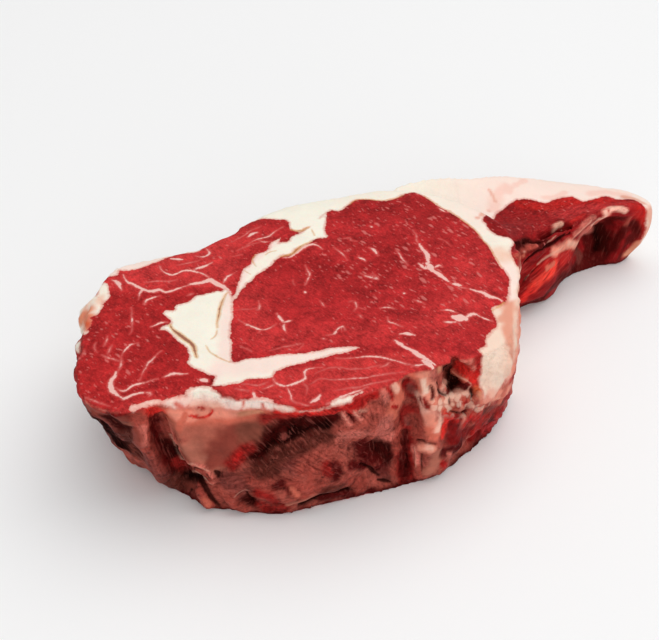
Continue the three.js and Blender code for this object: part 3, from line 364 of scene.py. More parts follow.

# What is seen on the sides: name, paint, reach, lift outwards and line, laid on in this order.
# Dark, black, maroon and deep strokes that cut into recesses, grooves, hollows, pits, pockets, the opening
# and the tail's concave, and some at the foot, are painted shade; the sheen, glint and some light strokes are
# painted highlights.
SIDE_STROKES = [
    ("front wall, left", "brown", 9, 0, [(-92, -76, 40), (-81.5, -72.5, 20.5), (-71, -69.5, 3)]),
    ("front wall, middle", "wall", 9, 0, [(-48, -77.5, 18.5), (-31, -77.5, 21), (-16.5, -73, 25.5)]),
    ("left end's lean", "left", 8, 0, [(-108, -34, 42), (-108, -46, 41), (-107, -58, 42),
        (-103.5, -67, 43)]),
    ("left end, dark", "umber", 8, 0, [(-102.5, -62, 30), (-98, -69, 32), (-92, -74, 30), (-89, -69, 20)]),
    ("rim, left", "red", 3, 0, [(-101, -69.5, 47), (-97, -74, 47.5), (-92.5, -77, 48), (-88, -77.5, 49),
        (-84.5, -77, 50)]),
    # Painted sheen along the left rim.
    ("rim, sheen", "pink", 1.6, 0, [(-100.5, -72, 47), (-97, -73.5, 47.5), (-94, -76.5, 47.5)]),
    ("rim, sheen, right", "pink", 1.2, 0, [(-92, -78, 47.5), (-88.5, -78, 48.5), (-86, -77.5, 49.5)]),
    ("rim, deep", "deep", 2.4, 0, [(-91.5, -78, 46), (-87, -79.5, 48.5), (-84, -78.5, 49)]),
    ("under the left rim", "brown", 2.2, 0, [(-100, -71, 43.5), (-96.5, -74.5, 44.5), (-94.5, -75.5, 43),
        (-91.5, -77, 43.5), (-89, -79, 44.5), (-86.5, -79.5, 46)]),
    ("left end, dusky", "umber", 3.4, 0, [(-103, -64, 38), (-99, -70, 38.5), (-95, -73.5, 38)]),
    # Painted shade in the recesses: the dark, maroon and black strokes.
    ("recess, upper", "dark", 4.2, -1.2, [(-93, -75.5, 41), (-91.5, -76.5, 41), (-89.5, -77, 39.5),
        (-87, -78, 39), (-85, -79.5, 41.5)]),
    ("recess, upper, right", "maroon", 2, -0.8, [(-85.5, -79, 49), (-84.5, -79.5, 47), (-83, -80, 45),
        (-83, -80, 41.5)]),
    ("recess, greenish", "olive", 1.4, 0, [(-88.5, -78.5, 43), (-86.5, -79.5, 42.5), (-85, -80, 44)]),
    ("fold between the recesses", "dusk", 1.4, 0.8, [(-98, -72.5, 42), (-96.5, -74, 41),
        (-94.5, -74.5, 38.5), (-92.5, -74.5, 36), (-91, -72.5, 31), (-90.5, -66, 21.5), (-89, -66, 18)]),
    ("recess, lower", "black", 5.6, -1.4, [(-96.5, -72, 34), (-98, -59.5, 20), (-95.5, -62, 20),
        (-93, -64.5, 20), (-90.5, -66, 20)]),
    ("left of the ridge", "umber", 3, 0, [(-87, -76.5, 35), (-87.5, -72, 28), (-87.5, -67.5, 21),
        (-86.5, -67, 17)]),
    ("ridge", "ridge", 4, 1.2, [(-82, -79, 47), (-81.5, -79, 42), (-81.5, -78, 35.5), (-81.5, -76, 28.5),
        (-80, -73.5, 21), (-78, -73, 16)]),
    # Painted highlight on the ridge.
    ("ridge, light", "pink", 1.6, 0.3, [(-82, -79, 42), (-82, -79, 38), (-82.5, -77, 33)]),
    ("ridge, root", "dusk", 4, 0.4, [(-82.5, -73, 22), (-81.5, -72, 18), (-78, -73, 14),
        (-75.5, -71.5, 10)]),
    ("ridge, left side", "brown", 2.2, 0, [(-84, -79, 39.5), (-84, -78, 35), (-85.5, -68.5, 22)]),
    # Painted shade in the groove.
    ("groove, upper", "maroon", 3, -0.6, [(-79, -75, 44.5), (-78, -73.5, 39.5), (-77, -72.5, 35.5)]),
    ("groove", "maroon", 4.6, -1.5, [(-77.5, -73.5, 36), (-76.5, -72, 30.5), (-75.5, -71.5, 25.5),
        (-74, -71, 20), (-72.5, -70.5, 15.5)]),
    ("groove, darkest", "dark", 2.4, -0.6, [(-75.5, -71.5, 29.5), (-74.5, -71, 24.5), (-72.5, -70.5, 19)]),
    ("groove, foot", "blood", 1.8, -0.4, [(-73, -71, 17), (-71.5, -70.5, 13.5), (-70.5, -70, 11)]),
    ("raw patch", "bright", 2.6, 0, [(-79.5, -77, 48.5), (-78, -74.5, 45.5), (-75.5, -73.5, 44.5)]),
    ("pillar", "ridge", 2.6, 0.5, [(-74.5, -73, 42), (-74, -72.5, 37.5), (-73.5, -72.5, 33),
        (-73, -72, 29)]),
    # Painted highlight on the pillar.
    ("pillar, light", "pink", 1, 0.2, [(-74, -73, 39.5), (-73.5, -72.5, 34.5), (-73.5, -72, 30)]),
    ("membrane", "membrane", 8, 0.3, [(-67.5, -74.5, 39.5), (-64, -74, 36), (-59, -74, 33.5),
        (-55.5, -74, 37)]),
    ("membrane, low", "fawn", 6, 0.3, [(-67.5, -75, 27), (-63.5, -74.5, 25), (-60, -75.5, 23)]),
    ("membrane, right", "brown", 7, 0, [(-57, -75, 27), (-54, -75, 31), (-51, -74, 35)]),
    ("membrane, olive", "olive", 5, 0, [(-48, -73.5, 37.5), (-45.5, -73.5, 36), (-47, -74.5, 33.5)]),
    ("membrane, foot", "brown", 3.4, 0, [(-60.5, -75.5, 22.5), (-57.5, -75.5, 24.5), (-57, -75.5, 28.5)]),
    ("band, underside", "salmon", 3.6, 0, [(-72.5, -75, 44.5), (-69, -75, 43.5), (-65.5, -73, 41),
        (-59, -73, 41), (-53, -73.5, 42), (-48, -73.5, 42.5), (-43.5, -73.5, 43), (-39, -75.5, 45)]),
    ("band, underside, light", "rosy", 2.6, 0, [(-72, -75, 44.5), (-69, -74.5, 43), (-65.5, -73, 42),
        (-59, -72.5, 42.5), (-52, -73, 43.5)]),
    ("band, tan spot", "tan", 1.6, 0, [(-50, -73.5, 43), (-44, -74.5, 44)]),
    ("band, blush", "salmon", 1.4, 0, [(-68.5, -74.5, 43.5), (-69.5, -75, 41), (-71, -75.5, 37)]),
    ("rim of the strip", "strip", 4.5, 0, [(-57, -67.5, 50.5), (-50, -70, 50.5), (-42, -72.5, 50.5),
        (-36, -74, 50.3), (-30, -76, 49.6), (-24, -76.5, 49.6), (-18, -74.5, 50.3), (-10, -71, 50.5),
        (-2, -67.5, 50.5)]),
    ("swirl", "bright", 0.6, 0.2, [(-62.5, -71, 45.5), (-60.5, -71, 45), (-59.5, -72, 43), (-61, -72.5, 41),
        (-64, -72.5, 40.5), (-67, -73.5, 42.5)]),
    ("swirl, heart", "red", 0.6, 0, [(-64.5, -71.5, 44), (-62.5, -71.5, 43.5), (-61.5, -71, 45)]),
    ("membrane, lip", "pink", 1.1, 0.6, [(-73, -72.5, 30.5), (-72, -72, 26.5), (-71.5, -71.5, 22.5),
        (-69.5, -72.5, 20), (-67.5, -75, 21), (-65, -75.5, 21.5), (-63, -76.5, 20.5), (-61, -77.5, 18),
        (-60.5, -76, 14)]),
    ("under the lip", "finger", 2.2, 0.5, [(-65.5, -76, 18.5), (-63.5, -77, 18), (-61.5, -76.5, 15.5)]),
    # Painted shade in the cleft.
    ("cleft, top", "black", 3, -1.6, [(-70.5, -69.5, 7.5), (-67.5, -75.5, 14.5), (-65, -76.5, 15)]),
    ("low left", "umber", 4, -0.3, [(-75, -71, 8.5), (-73, -70, 4), (-70.5, -70.5, 0.5)]),
    ("finger", "ridge", 2.3, 1.2, [(-65.5, -77, 11.5), (-64, -77.5, 7.5), (-62.5, -77, 3.5)]),
    # Painted highlight on the finger.
    ("finger, light", "salmon", 1.2, 0.2, [(-64, -77.5, 7.5), (-62.5, -77.5, 5)]),
    ("small finger", "dusk", 2, 0.6, [(-69, -70.5, 1.5), (-67.5, -72, 0.5)]),
    ("second finger", "finger", 3, 1, [(-58.5, -75.5, 9), (-56, -77.5, 6.5), (-53, -78.5, 4)]),
    ("second finger, right", "ridge", 2.6, 0.5, [(-49, -78, 1), (-51.5, -79, 5.5), (-53.5, -79, 9)]),
    # Painted shade between the fingers.
    ("dark between fingers", "dark", 2.6, -0.8, [(-50, -79, 8.5), (-47.5, -79, 6.5), (-46, -79, 5)]),
    ("low front, dusky", "dusk", 5, 0, [(-55.5, -77.5, 16), (-51.5, -78.5, 14), (-47.5, -78.5, 16.5)]),
    ("low front, light", "ridge", 4, 0.2, [(-46.5, -78.5, 16.5), (-42.5, -79.5, 16.5), (-44, -80, 12.5)]),
    # Painted shade in the pits.
    ("low front, pits", "maroon", 2.2, -0.6, [(-39, -80, 15.5), (-37, -79.5, 16.5), (-35.5, -79.5, 15),
        (-34.5, -79.5, 13)]),
    ("low front, red", "blood", 2.4, -0.3, [(-45.5, -79.5, 11.5), (-42, -80, 10.5), (-39.5, -79.5, 6.5)]),
    ("low front, knob", "ridge", 3, 0.6, [(-33.5, -79, 16.5), (-32, -79, 13), (-30.5, -79, 10)]),
    # Painted highlight on the knob.
    ("low front, knob, light", "salmon", 1.2, 0.2, [(-34, -79.5, 14), (-32, -79.5, 11)]),
    ("low front, under", "blood", 2.6, -0.3, [(-44.5, -79, 5), (-41, -78.5, 2), (-37, -79, 4)]),
    ("foot, tan", "fawn", 1.1, 0.3, [(-35.5, -79, 5.5), (-32.5, -79, 7), (-29.5, -78.5, 7.5),
        (-26, -78, 9)]),
    # Painted shade along the foot: the black and maroon strokes.
    ("foot, dark", "black", 2.4, -0.8, [(-30.5, -78, 4), (-26.5, -77, 5.5), (-23, -76.5, 6.5),
        (-18.5, -74, 5.5), (-14.5, -72.5, 5)]),
    ("foot, red edge", "maroon", 2, 0, [(-24, -76, 4.5), (-18, -73.5, 3.5), (-12, -71, 2), (-6.5, -69, 1)]),
    ("foot, grey", "umber", 3, 0, [(-23.5, -77.5, 11.5), (-20.5, -76.5, 9.5), (-17, -74, 10)]),
    ("fibres, left", "umber", 6, 0, [(-44, -77.5, 23), (-40, -78, 24.5), (-36, -77.5, 26.5)]),
    ("fibres, middle", "dusk", 4, 0, [(-35, -77.5, 25), (-32, -77.5, 23), (-33.5, -77.5, 26.5)]),
    ("fibres, bright", "finger", 5, 0.5, [(-29, -77, 24.5), (-26, -77, 24.5), (-22, -76, 24.5),
        (-18.5, -74.5, 24)]),
    ("fibres, bright low", "ridge", 4.5, 0.2, [(-27, -77.5, 20), (-25.5, -78, 16.5), (-27.5, -78.5, 13)]),
    ("fibres, red", "blood", 2, 0, [(-22.5, -76.5, 22.5), (-22, -77, 19), (-20.5, -77, 18)]),
    ("fibres, dark", "maroon", 1.9, -0.4, [(-20, -75.5, 22.5), (-18.5, -76, 19), (-19, -76.5, 15)]),
    # Painted shade in the hollow: the dark, black, umber and maroon strokes.
    ("hollow, left", "dark", 4, -1, [(-46, -77, 27), (-43.5, -76.5, 29), (-41, -76, 31), (-39, -75, 33.5)]),
    ("hollow", "dark", 5.5, -1.2, [(-39, -75.5, 33), (-36, -74.5, 35.5), (-32.5, -75, 39), (-28, -75.5, 40),
        (-24, -75, 40.5), (-20.5, -75, 39.5)]),
    ("hollow, heart", "black", 2.6, -0.5, [(-41.5, -77, 28.5), (-37.5, -76, 31.5), (-32.5, -75, 35.5),
        (-27, -75, 35.5), (-22.5, -75, 38)]),
    ("hollow, lower edge", "umber", 3.4, -0.3, [(-39, -77.5, 26.5), (-34.5, -77, 28.5), (-30, -76.5, 30.5),
        (-26.5, -75.5, 32.5), (-22, -75, 33.5)]),
    ("hollow, mouth", "maroon", 2.6, -0.4, [(-37.5, -74.5, 40.5), (-33.5, -76, 43.5), (-29, -76, 43),
        (-24, -76, 43), (-19.5, -75.5, 42)]),
    ("dot in the hollow", "dusk", 1.3, 0.3, [(-36.5, -75, 33.5), (-36.5, -75.5, 33)]),
    ("blood patch", "blood", 2.8, 0, [(-54, -76.5, 22), (-52, -76.5, 25), (-50.5, -76.5, 28),
        (-48, -76, 29.5)]),
    ("blood patch, light", "red", 1, 0, [(-52.5, -76.5, 25), (-51, -76.5, 27.5)]),
    ("under the rim, blood", "blood", 3, 0, [(-43, -74.5, 40.5), (-39, -75, 42.5), (-36, -75.5, 44)]),
    ("under the rim", "red", 2.8, 0, [(-38, -76, 46), (-35, -76.5, 45.5), (-32, -76.5, 45),
        (-28.5, -76.5, 44.5), (-24.5, -76.5, 45), (-21, -76.5, 46.5), (-18, -75.5, 47)]),
    ("under the rim, bright", "bright", 2.6, 0, [(-37, -76.5, 47), (-30, -77, 46.5), (-23, -77, 46.8),
        (-17, -75.5, 48)]),
    ("right of the hollow", "finger", 4.5, 0, [(-16, -74.5, 36), (-13, -74.5, 38), (-9.5, -73.5, 38.5)]),
    ("right, band", "pink", 3.2, 0.4, [(-16.5, -74, 33), (-12, -73, 33), (-7.5, -71, 31.5)]),
    ("right, low", "wall", 5, 0, [(-16.5, -73, 27), (-12.5, -70.5, 24), (-10.5, -69.5, 26)]),
    # Painted shade beside the hole on the right.
    ("right, dark", "maroon", 4, -0.8, [(-11, -69.5, 24.5), (-9, -69.5, 20.5), (-7, -69.5, 17),
        (-5, -67.5, 18.5), (-6.5, -67, 22.5)]),
    ("right, grey rim", "dusk", 3, 0.3, [(-2, -64, 9), (-4, -65.5, 8.5), (-2, -66, 6.5)]),
    ("right, folds", "ridge", 3, 0.4, [(-15.5, -74, 13.5), (-12.5, -70, 8), (-10.5, -70, 5)]),
    # Painted shade in the hollow on the right.
    ("hollow on the right, around", "maroon", 5, -0.6, [(-6, -68, 20), (-3, -66.5, 17), (-3, -66.5, 12)]),
    ("hollow on the right", "dark", 3.2, -0.8, [(-4.5, -66.5, 21.5), (-3, -66.5, 19), (-1, -66, 16),
        (-0.5, -65.5, 12)]),
    ("hollow on the right, low", "maroon", 2.8, -0.6, [(-13, -73.5, 18.5), (-10.5, -72, 16.5),
        (-7.5, -70.5, 14)]),
    ("right strand", "ridge", 2, 0.8, [(2, -64, 18), (2.5, -64, 14.5), (2.5, -62, 8), (1, -64, 6.5)]),
    ("red under the corner", "red", 2.6, 0, [(-16.5, -75.5, 49), (-15, -74.5, 46), (-14, -74.5, 43.5),
        (-12, -73.5, 48)]),
    # Painted shade in the pockets under the rim.
    ("pockets under the rim", "maroon", 1.6, -0.5, [(-15, -74.5, 42.5), (-14, -74.5, 40.5),
        (-12, -73.5, 44), (-11, -73.5, 42.5)]),
    ("corner, streak", "pink", 1.2, 0.3, [(-17.5, -75, 50), (-17, -75, 46), (-16.5, -75, 42.5),
        (-15, -74.5, 39)]),
    ("corner, second streak", "pink", 1, 0.3, [(-14, -74.5, 47.5), (-13, -74, 43.5), (-11, -74, 40.5)]),
    ("corner, bead", "pale", 1.5, 0.8, [(-11, -73, 45), (-9.5, -72.5, 44.5)]),
    ("corner wall", "finger", 4.4, 0, [(-8.5, -71.5, 46.5), (-6, -71.5, 42.5), (-3, -70.5, 38),
        (-5, -71, 35.5)]),
    ("corner wall, rim", "red", 2.2, 0, [(-19, -76, 46), (-16.5, -75, 47), (-12, -73, 47.5),
        (-8, -71, 48.5), (-5, -70, 49.5)]),
    ("corner wall, right", "pink", 1.8, 0.2, [(-4, -69, 48.5), (-2.5, -69, 44.5)]),
    ("corner, salmon", "salmon", 3.4, 0.3, [(1.5, -66, 46), (2, -65.5, 42.5), (0.5, -67.5, 41.5),
        (-0.5, -68.5, 39), (-1, -69, 36.5)]),
    ("corner, light", "pale", 1.5, 0.3, [(-0.5, -66.5, 49), (0.5, -66.5, 47)]),
    ("corner, spot", "red", 0.9, -0.2, [(-0.5, -69, 41.5), (1, -67.5, 40)]),
    ("corner, red rim", "red", 0.9, 0, [(-2.5, -68.5, 49), (-1, -68, 46.5), (-0.5, -68.5, 44.5)]),
    ("corner, pale patch", "side", 3.4, 0.3, [(-3, -70, 36), (-2.5, -68, 30), (-2.5, -66, 25)]),
    ("corner, foot of the patch", "pink", 1.8, 0.2, [(-1, -65, 25), (1, -64.5, 22), (1, -64, 25)]),
    # Painted shade in the corner pocket.
    ("corner pocket", "deep", 2.6, -0.8, [(4, -62, 45.5), (5.5, -61.5, 43), (6.5, -61.5, 40.5),
        (7.5, -62, 39)]),
    ("corner pocket, mauve", "dusk", 1.4, 0, [(5, -61.5, 44), (6.5, -61.5, 41)]),
    ("corner pocket, edge", "salmon", 1.2, 0.4, [(5.5, -61.5, 49), (8, -61.5, 46), (9, -62, 43),
        (9.5, -62.5, 39)]),
    ("corner column, left edge", "ridge", 1.4, 0.3, [(6, -61.5, 36), (8, -62.5, 35), (8.5, -62.5, 32.5)]),
    # Painted shade in the groove at the corner: the blood and maroon strokes.
    ("groove at the corner", "blood", 4, -0.8, [(5, -62.5, 33), (4.5, -62.5, 27.5), (4.5, -63, 21.5),
        (5, -63.5, 15), (5, -62, 7), (5.5, -63.5, 2.5)]),
    ("groove at the corner, spot", "dusk", 1.2, 0.2, [(5, -62.5, 29.5), (5, -62.5, 27)]),
    ("groove at the corner, dark", "maroon", 2.2, -0.6, [(3.5, -63, 22.5), (4, -63, 15), (4.5, -61.5, 7.5),
        (5, -63.5, 3.5)]),
    ("groove at the corner, left side", "ridge", 1.8, 0.2, [(1.5, -66, 32.5), (2.5, -64, 25),
        (1.5, -64, 20), (2, -64, 17)]),
    ("corner, folds", "ridge", 2.4, 0.2, [(7, -62.5, 30), (8.5, -63.5, 26.5), (8, -63.5, 23)]),
    ("corner column", "blush", 2.4, 0.7, [(9, -62.5, 40), (10, -63, 38), (11, -63.5, 36), (12, -64, 33)]),
    ("corner column, lower", "rosy", 2.4, 0.5, [(12, -64, 32.5), (13, -64.5, 29.5)]),
    ("corner column, pink", "salmon", 2.4, 0.4, [(12.5, -64.5, 27), (13.5, -65, 24.5), (15, -64.5, 25.5)]),
    ("corner column, right edge", "blush", 1.2, 0.3, [(15.5, -63, 33), (15.5, -63.5, 30),
        (14.5, -64.5, 27)]),
    ("upper folds, column", "rosy", 3, 0.4, [(10, -61, 49), (11, -62, 45.5), (12.5, -62.5, 41),
        (13, -63, 38)]),
    ("upper folds, left", "side", 1.6, 0.3, [(12.5, -60, 50), (13, -61, 47.5)]),
    ("upper folds, tan", "tan", 1.4, 0.3, [(14, -57, 50), (14.5, -58.5, 48.5)]),
    ("upper folds, light", "peach", 1.1, 0.4, [(9.5, -62, 47), (10.5, -62.5, 43)]),
    ("upper folds, red", "blood", 1.4, -0.3, [(9.5, -62.5, 39.5), (10.5, -63, 37.5), (11, -63, 36.5)]),
    ("upper folds, gap", "maroon", 0.8, -0.4, [(12, -62.5, 45), (13, -62.5, 42), (12.5, -63, 39.5)]),
    # Painted shade in the opening.
    ("opening, upper", "black", 2, 0, [(17, -56.5, 47.5), (19, -56, 48.5), (20.5, -53.5, 49)]),
    ("opening", "black", 3.4, 0, [(20, -49, 38), (21, -51, 36.5), (18.5, -56.5, 37), (23, -52, 36.5)]),
    ("opening, floor", "maroon", 2.2, 0, [(23.5, -53.5, 36.5), (25, -52.5, 36), (22, -55, 36)]),
    ("opening, brown lip", "olive", 1.2, 0, [(17.5, -53, 49.5), (18.5, -52.5, 49.5)]),
    ("opening, red lip", "deep", 2, 0, [(20.5, -52.5, 49.5), (22.5, -52.5, 49), (22.5, -50.5, 44.5)]),
    ("tube", "pale", 1.5, 0.8, [(17, -52, 37), (16.5, -57.5, 40)]),
    ("tube, root", "finger", 1.3, 0.4, [(16.5, -58, 39), (16, -59, 38)]),
    ("flap", "bright", 4, 0.2, [(23.5, -50.5, 42.5), (26.5, -51, 40.5), (30, -49.5, 36), (30.5, -50, 33)]),
    ("flap, top", "red", 4, 0, [(27.5, -50, 49), (29.5, -51, 46), (31, -49.5, 41.5)]),
    ("flap, orange", "rust", 2.2, 0.2, [(31, -49.5, 34.5), (32, -49.5, 31.5), (29, -51.5, 33)]),
    ("flap, lip", "salmon", 1, 0.4, [(20.5, -49, 39.5), (22.5, -50.5, 39), (24.5, -52, 38.5)]),
    ("flap, knob", "pink", 1.8, 0.7, [(23.5, -54, 49), (25, -52.5, 49), (25.5, -53.5, 48)]),
    ("flap, specks", "pink", 0.8, 0.3, [(26.5, -52.5, 45), (27.5, -51, 42)]),
    ("crumbs", "pale", 2.8, 0.8, [(15.5, -61, 35.5), (18, -60, 35), (20.5, -57.5, 34), (22.5, -56, 34)]),
    ("crumbs, low", "tan", 2.2, 0.4, [(19.5, -60.5, 33), (21, -60, 31), (23.5, -58, 27.5)]),
    ("crumb ring", "pale", 1.6, 0.7, [(21.5, -59.5, 32.5), (21.5, -57.5, 34), (23, -55.5, 34),
        (25, -54, 33.5)]),
    ("ring's heart", "red", 1.9, -0.3, [(23.5, -57, 33), (24.5, -57, 33)]),
    # Painted shade in the pit and the gap among the crumbs.
    ("crumbs, pit", "dark", 1.3, -0.8, [(24, -57, 28.5), (25.5, -55.5, 27)]),
    ("crumbs, gap", "maroon", 1.4, -0.6, [(26.5, -52.5, 33.5), (27.5, -54.5, 33.5), (27.5, -55.5, 32.5)]),
    ("crumbs, right", "pink", 1.7, 0.5, [(27.5, -54, 27), (29, -54, 29), (31, -51, 24.5)]),
    ("crumb, pale", "tan", 1.2, 0.4, [(29.5, -53, 32.5), (30, -53.5, 31.5)]),
    ("crumb, low", "pink", 1.9, 0.6, [(20.5, -61, 32), (22, -59.5, 28), (23.5, -58.5, 25.5)]),
    ("crumb, right low", "pink", 1.6, 0.4, [(29, -52.5, 23), (28, -53, 22.5)]),
    ("slab", "deep", 4, 0.4, [(19, -62, 31), (20.5, -61.5, 27.5), (21, -61.5, 22.5), (21, -61.5, 19)]),
    ("slab, bright edge", "bright", 1.3, 0.3, [(16.8, -62.5, 33.5), (17.3, -62, 29), (17, -63.5, 25.5),
        (17, -64, 22.5)]),
    ("slab, sheen", "red", 1.4, 0, [(18.5, -62.5, 32), (20.5, -62, 29.5), (22, -60.5, 27)]),
    ("slab, right dark", "maroon", 2.2, -0.2, [(22, -60.5, 20), (22.5, -60.5, 15), (21, -61, 12)]),
    ("right, maroon", "deep", 3.4, -0.3, [(22, -60.5, 19.5), (26, -55.5, 16), (30.5, -50.5, 13.5),
        (35, -42.5, 8)]),
    ("right, between the folds", "red", 3.2, 0.2, [(26, -56, 22), (30.5, -51.5, 20.5), (33, -48, 14)]),
    ("right, red lump", "red", 2.6, 0.5, [(29, -51, 13), (31.5, -48.5, 12.5), (34, -44, 9.5)]),
    ("right folds, mauve", "dusk", 2.2, -0.2, [(33, -49.5, 21), (35.5, -46.5, 19), (38, -43.5, 17),
        (40, -40.5, 16)]),
    ("right folds, pink", "rosy", 3.2, 0.3, [(31.5, -52.5, 29.5), (34.5, -50.5, 29), (38, -44.5, 25),
        (41, -39, 22), (44, -31, 20)]),
    ("right folds, low", "blood", 2.6, -0.3, [(33, -48, 13.5), (34, -47, 16.5), (36, -45.5, 16),
        (39, -42, 14)]),
    ("right, foot", "maroon", 2.4, -0.5, [(36.5, -45, 13), (36.5, -44.5, 11), (35.5, -42, 7.5)]),
    ("right, edge", "salmon", 2.2, 0.2, [(39, -43, 24), (39, -42, 18.5), (40, -43, 27.5)]),
    ("lump", "rosy", 1.8, 0.9, [(9.5, -65, 19), (11.5, -66, 19.5), (13, -65.5, 19)]),
    # Painted highlight on the lump.
    ("lump, light", "blush", 0.9, 0.2, [(11, -66, 20), (13, -65.5, 19.5)]),
    ("lump, left", "pink", 1.6, 0.4, [(7.5, -64.5, 18), (8, -64.5, 14.5), (9, -64.5, 11.5)]),
    ("below the lump", "fawn", 2.8, 0.4, [(15, -64.5, 15), (15, -64.5, 10.5), (12.5, -64, 6)]),
    ("below the lump, left", "finger", 1.6, 0.2, [(9, -63.5, 7.5), (9.5, -63.5, 3)]),
    ("maroon at the foot", "maroon", 3.4, -0.4, [(18.5, -62, 14), (20.5, -61.5, 14), (23, -60, 15)]),
    ("foot, bead", "pink", 1.1, 0.4, [(20, -61.5, 12.5), (20.5, -61, 10)]),
    ("foot, red bead", "red", 1.5, 0.5, [(17.5, -62.5, 9), (18.5, -61, 6)]),
    ("foot, red", "deep", 2, 0.3, [(28.5, -45.5, 4), (32, -42.5, 3.5)]),
    ("tail, upper rim", "red", 3, 0, [(54.5, 58.5, 32.5), (64.5, 58, 31), (76, 64, 30), (88, 65, 29),
        (102, 63.5, 29.5)]),
    ("tail, left corner", "vermilion", 2, 0, [(37.5, 23.5, 48.5), (39, 23, 48.5)]),
    ("tail, end", "red", 4, 0, [(103.5, 60.5, 28), (106.5, 61.5, 22), (108, 61.5, 16.5), (107, 62, 11)]),
    ("tail, end, dark", "maroon", 3, -0.3, [(101.5, 61.5, 20), (103.5, 61.5, 16), (101.5, 61.5, 12)]),
    ("tail, end, fold", "ridge", 1.1, 0.4, [(96.5, 61, 9), (97.5, 61.5, 14), (98.5, 61, 19),
        (99.5, 60, 25)]),
    # Painted shade in the tail's concave.
    ("tail, concave", "dark", 5.2, -0.8, [(86.5, 63.5, 12.5), (88.5, 64, 15), (91, 63, 11), (90, 61.5, 7)]),
    ("tail, concave, darkest", "black", 3, -0.5, [(86, 63.5, 14.5), (88, 62.5, 9.5), (86.5, 60.5, 5.5)]),
    ("tail, concave, top", "maroon", 2.4, -0.3, [(92, 64, 19.5), (93.5, 60.5, 24), (96.5, 59.5, 24)]),
    ("tail, concave, right", "maroon", 2.4, -0.3, [(94.5, 60.5, 8.5), (96.5, 61.5, 13), (98.5, 61, 17.5)]),
    ("tail, beside the concave", "maroon", 2.4, 0, [(84.5, 63, 12), (85, 61, 7), (82.5, 58.5, 5)]),
    # Painted shade at the tail's foot.
    ("tail, foot", "maroon", 3, -0.2, [(80, 55, 3.5), (85, 58.5, 3), (90, 60, 3.5)]),
    ("tail, end tan", "tan", 2.4, 0.3, [(100.5, 62.5, 5), (103, 63.5, 5), (105.5, 62.5, 9)]),
    ("tail, end tan, dark", "maroon", 1.2, -0.4, [(98, 61, 3), (98.5, 61, 7), (100, 61.5, 10)]),
    ("tail, ridge", "pink", 2.4, 0.7, [(81.5, 52.5, 25), (86, 62, 20), (87.5, 58.5, 25), (89, 57.5, 28.5)]),
    # Painted highlight on the tail's ridge.
    ("tail, ridge, light", "blush", 1.4, 0.3, [(82.5, 53.5, 27), (87.5, 57.5, 27), (89, 57.5, 29),
        (91.5, 59, 29.5), (94.5, 59, 30), (96.5, 58, 29.5)]),
    ("tail, ridge, left", "side", 2.4, 0.2, [(77.5, 49.5, 21), (79.5, 50.5, 24), (85, 63.5, 15.5)]),
    ("tail, ridge, gaps", "red", 0.8, -0.3, [(84, 56, 25), (85.5, 57.5, 27)]),
    ("tail, ridge, second gap", "red", 0.8, -0.3, [(88.5, 58, 26), (90, 58.5, 28.5)]),
    # Painted shade in the crevice's pocket and along it.
    ("tail, crevice, pocket", "maroon", 3, -0.4, [(51, 26, 34), (55.5, 29.5, 33), (59.5, 32, 32),
        (62, 34, 31.5)]),
    ("tail, crevice, shade", "dark", 1.8, -0.8, [(45, 7, 48.5), (50, 25.5, 37), (54, 30.5, 35),
        (60, 34.5, 33)]),
    ("tail, crevice, fold", "ridge", 1.4, 0.4, [(47.5, 4, 48), (53, 27.5, 32), (55, 29, 33), (58, 31, 33)]),
    ("tail, crevice, orange", "salmon", 0.8, 0.2, [(46, 4.5, 48), (48, 3.5, 47.5), (53, 27, 30.5)]),
    ("tail, streaks, pink", "side", 1.4, 0.2, [(75.5, 46, 26.5), (78, 49, 27.5), (81, 51, 29),
        (84, 54, 29)]),
    ("tail, streaks", "red", 1.2, 0, [(74, 49.5, 29), (76.5, 51.5, 30), (80, 55, 30)]),
    ("tail, blob", "pale", 1.6, 0.6, [(66, 44, 30), (68.5, 45.5, 31), (70, 47, 30.5)]),
    ("tail, slab, tip", "dusk", 2.2, 0, [(78, 54, 12), (81, 58, 8), (80.5, 56.5, 5)]),
    ("tail, slab", "red", 4.2, 0.4, [(60, 30, 20), (66, 35.5, 20.5), (70.5, 39.5, 19.5), (74.5, 45, 16.5)]),
    ("tail, slab, top", "rosy", 2.6, 0.4, [(66, 36.5, 25.5), (70.5, 41, 24.5), (74, 45, 22.5),
        (76.5, 49, 19)]),
    ("tail, slab, top, pale end", "pale", 1.4, 0.2, [(72, 43, 24.5), (74.5, 46, 22.5), (76, 48.5, 20)]),
    ("tail, slab, top, streak", "red", 0.9, -0.2, [(68, 38, 23), (71.5, 42, 21.5), (74, 45.5, 19.5)]),
    ("tail, slab, bright", "vermilion", 3.3, 0.1, [(58, 28, 14.5), (60.5, 29.5, 17), (63, 31, 17.5),
        (66.5, 35, 18.5)]),
    # Painted glint on the slab.
    ("tail, slab, glint", "salmon", 1.3, 0.2, [(63, 32, 20.5), (66, 35, 20.5)]),
    ("tail, slab, right", "deep", 3, 0.1, [(71, 38.5, 13.5), (74.5, 43.5, 13.5), (71, 38, 9.5)]),
    ("tail, slab, lower right", "maroon", 3.4, 0, [(66, 35.5, 8), (68.5, 35.5, 9), (72, 39, 10),
        (78.5, 54, 2.5)]),
    ("tail, slab, left", "deep", 3, 0, [(52, 26, 19), (52.5, 25, 16), (53.5, 25, 15)]),
    ("tail, slab, red foot", "bright", 2.2, 0, [(54, 25.5, 9.5), (55.5, 26.5, 12), (58, 27.5, 13.5)]),
    # Painted shade at the slab's foot.
    ("tail, slab, foot", "maroon", 3, -0.2, [(57, 28, 5), (63, 33.5, 4), (65.5, 33.5, 7.5), (68.5, 35.5, 9),
        (71.5, 38.5, 10), (77.5, 53, 0.5)]),
]
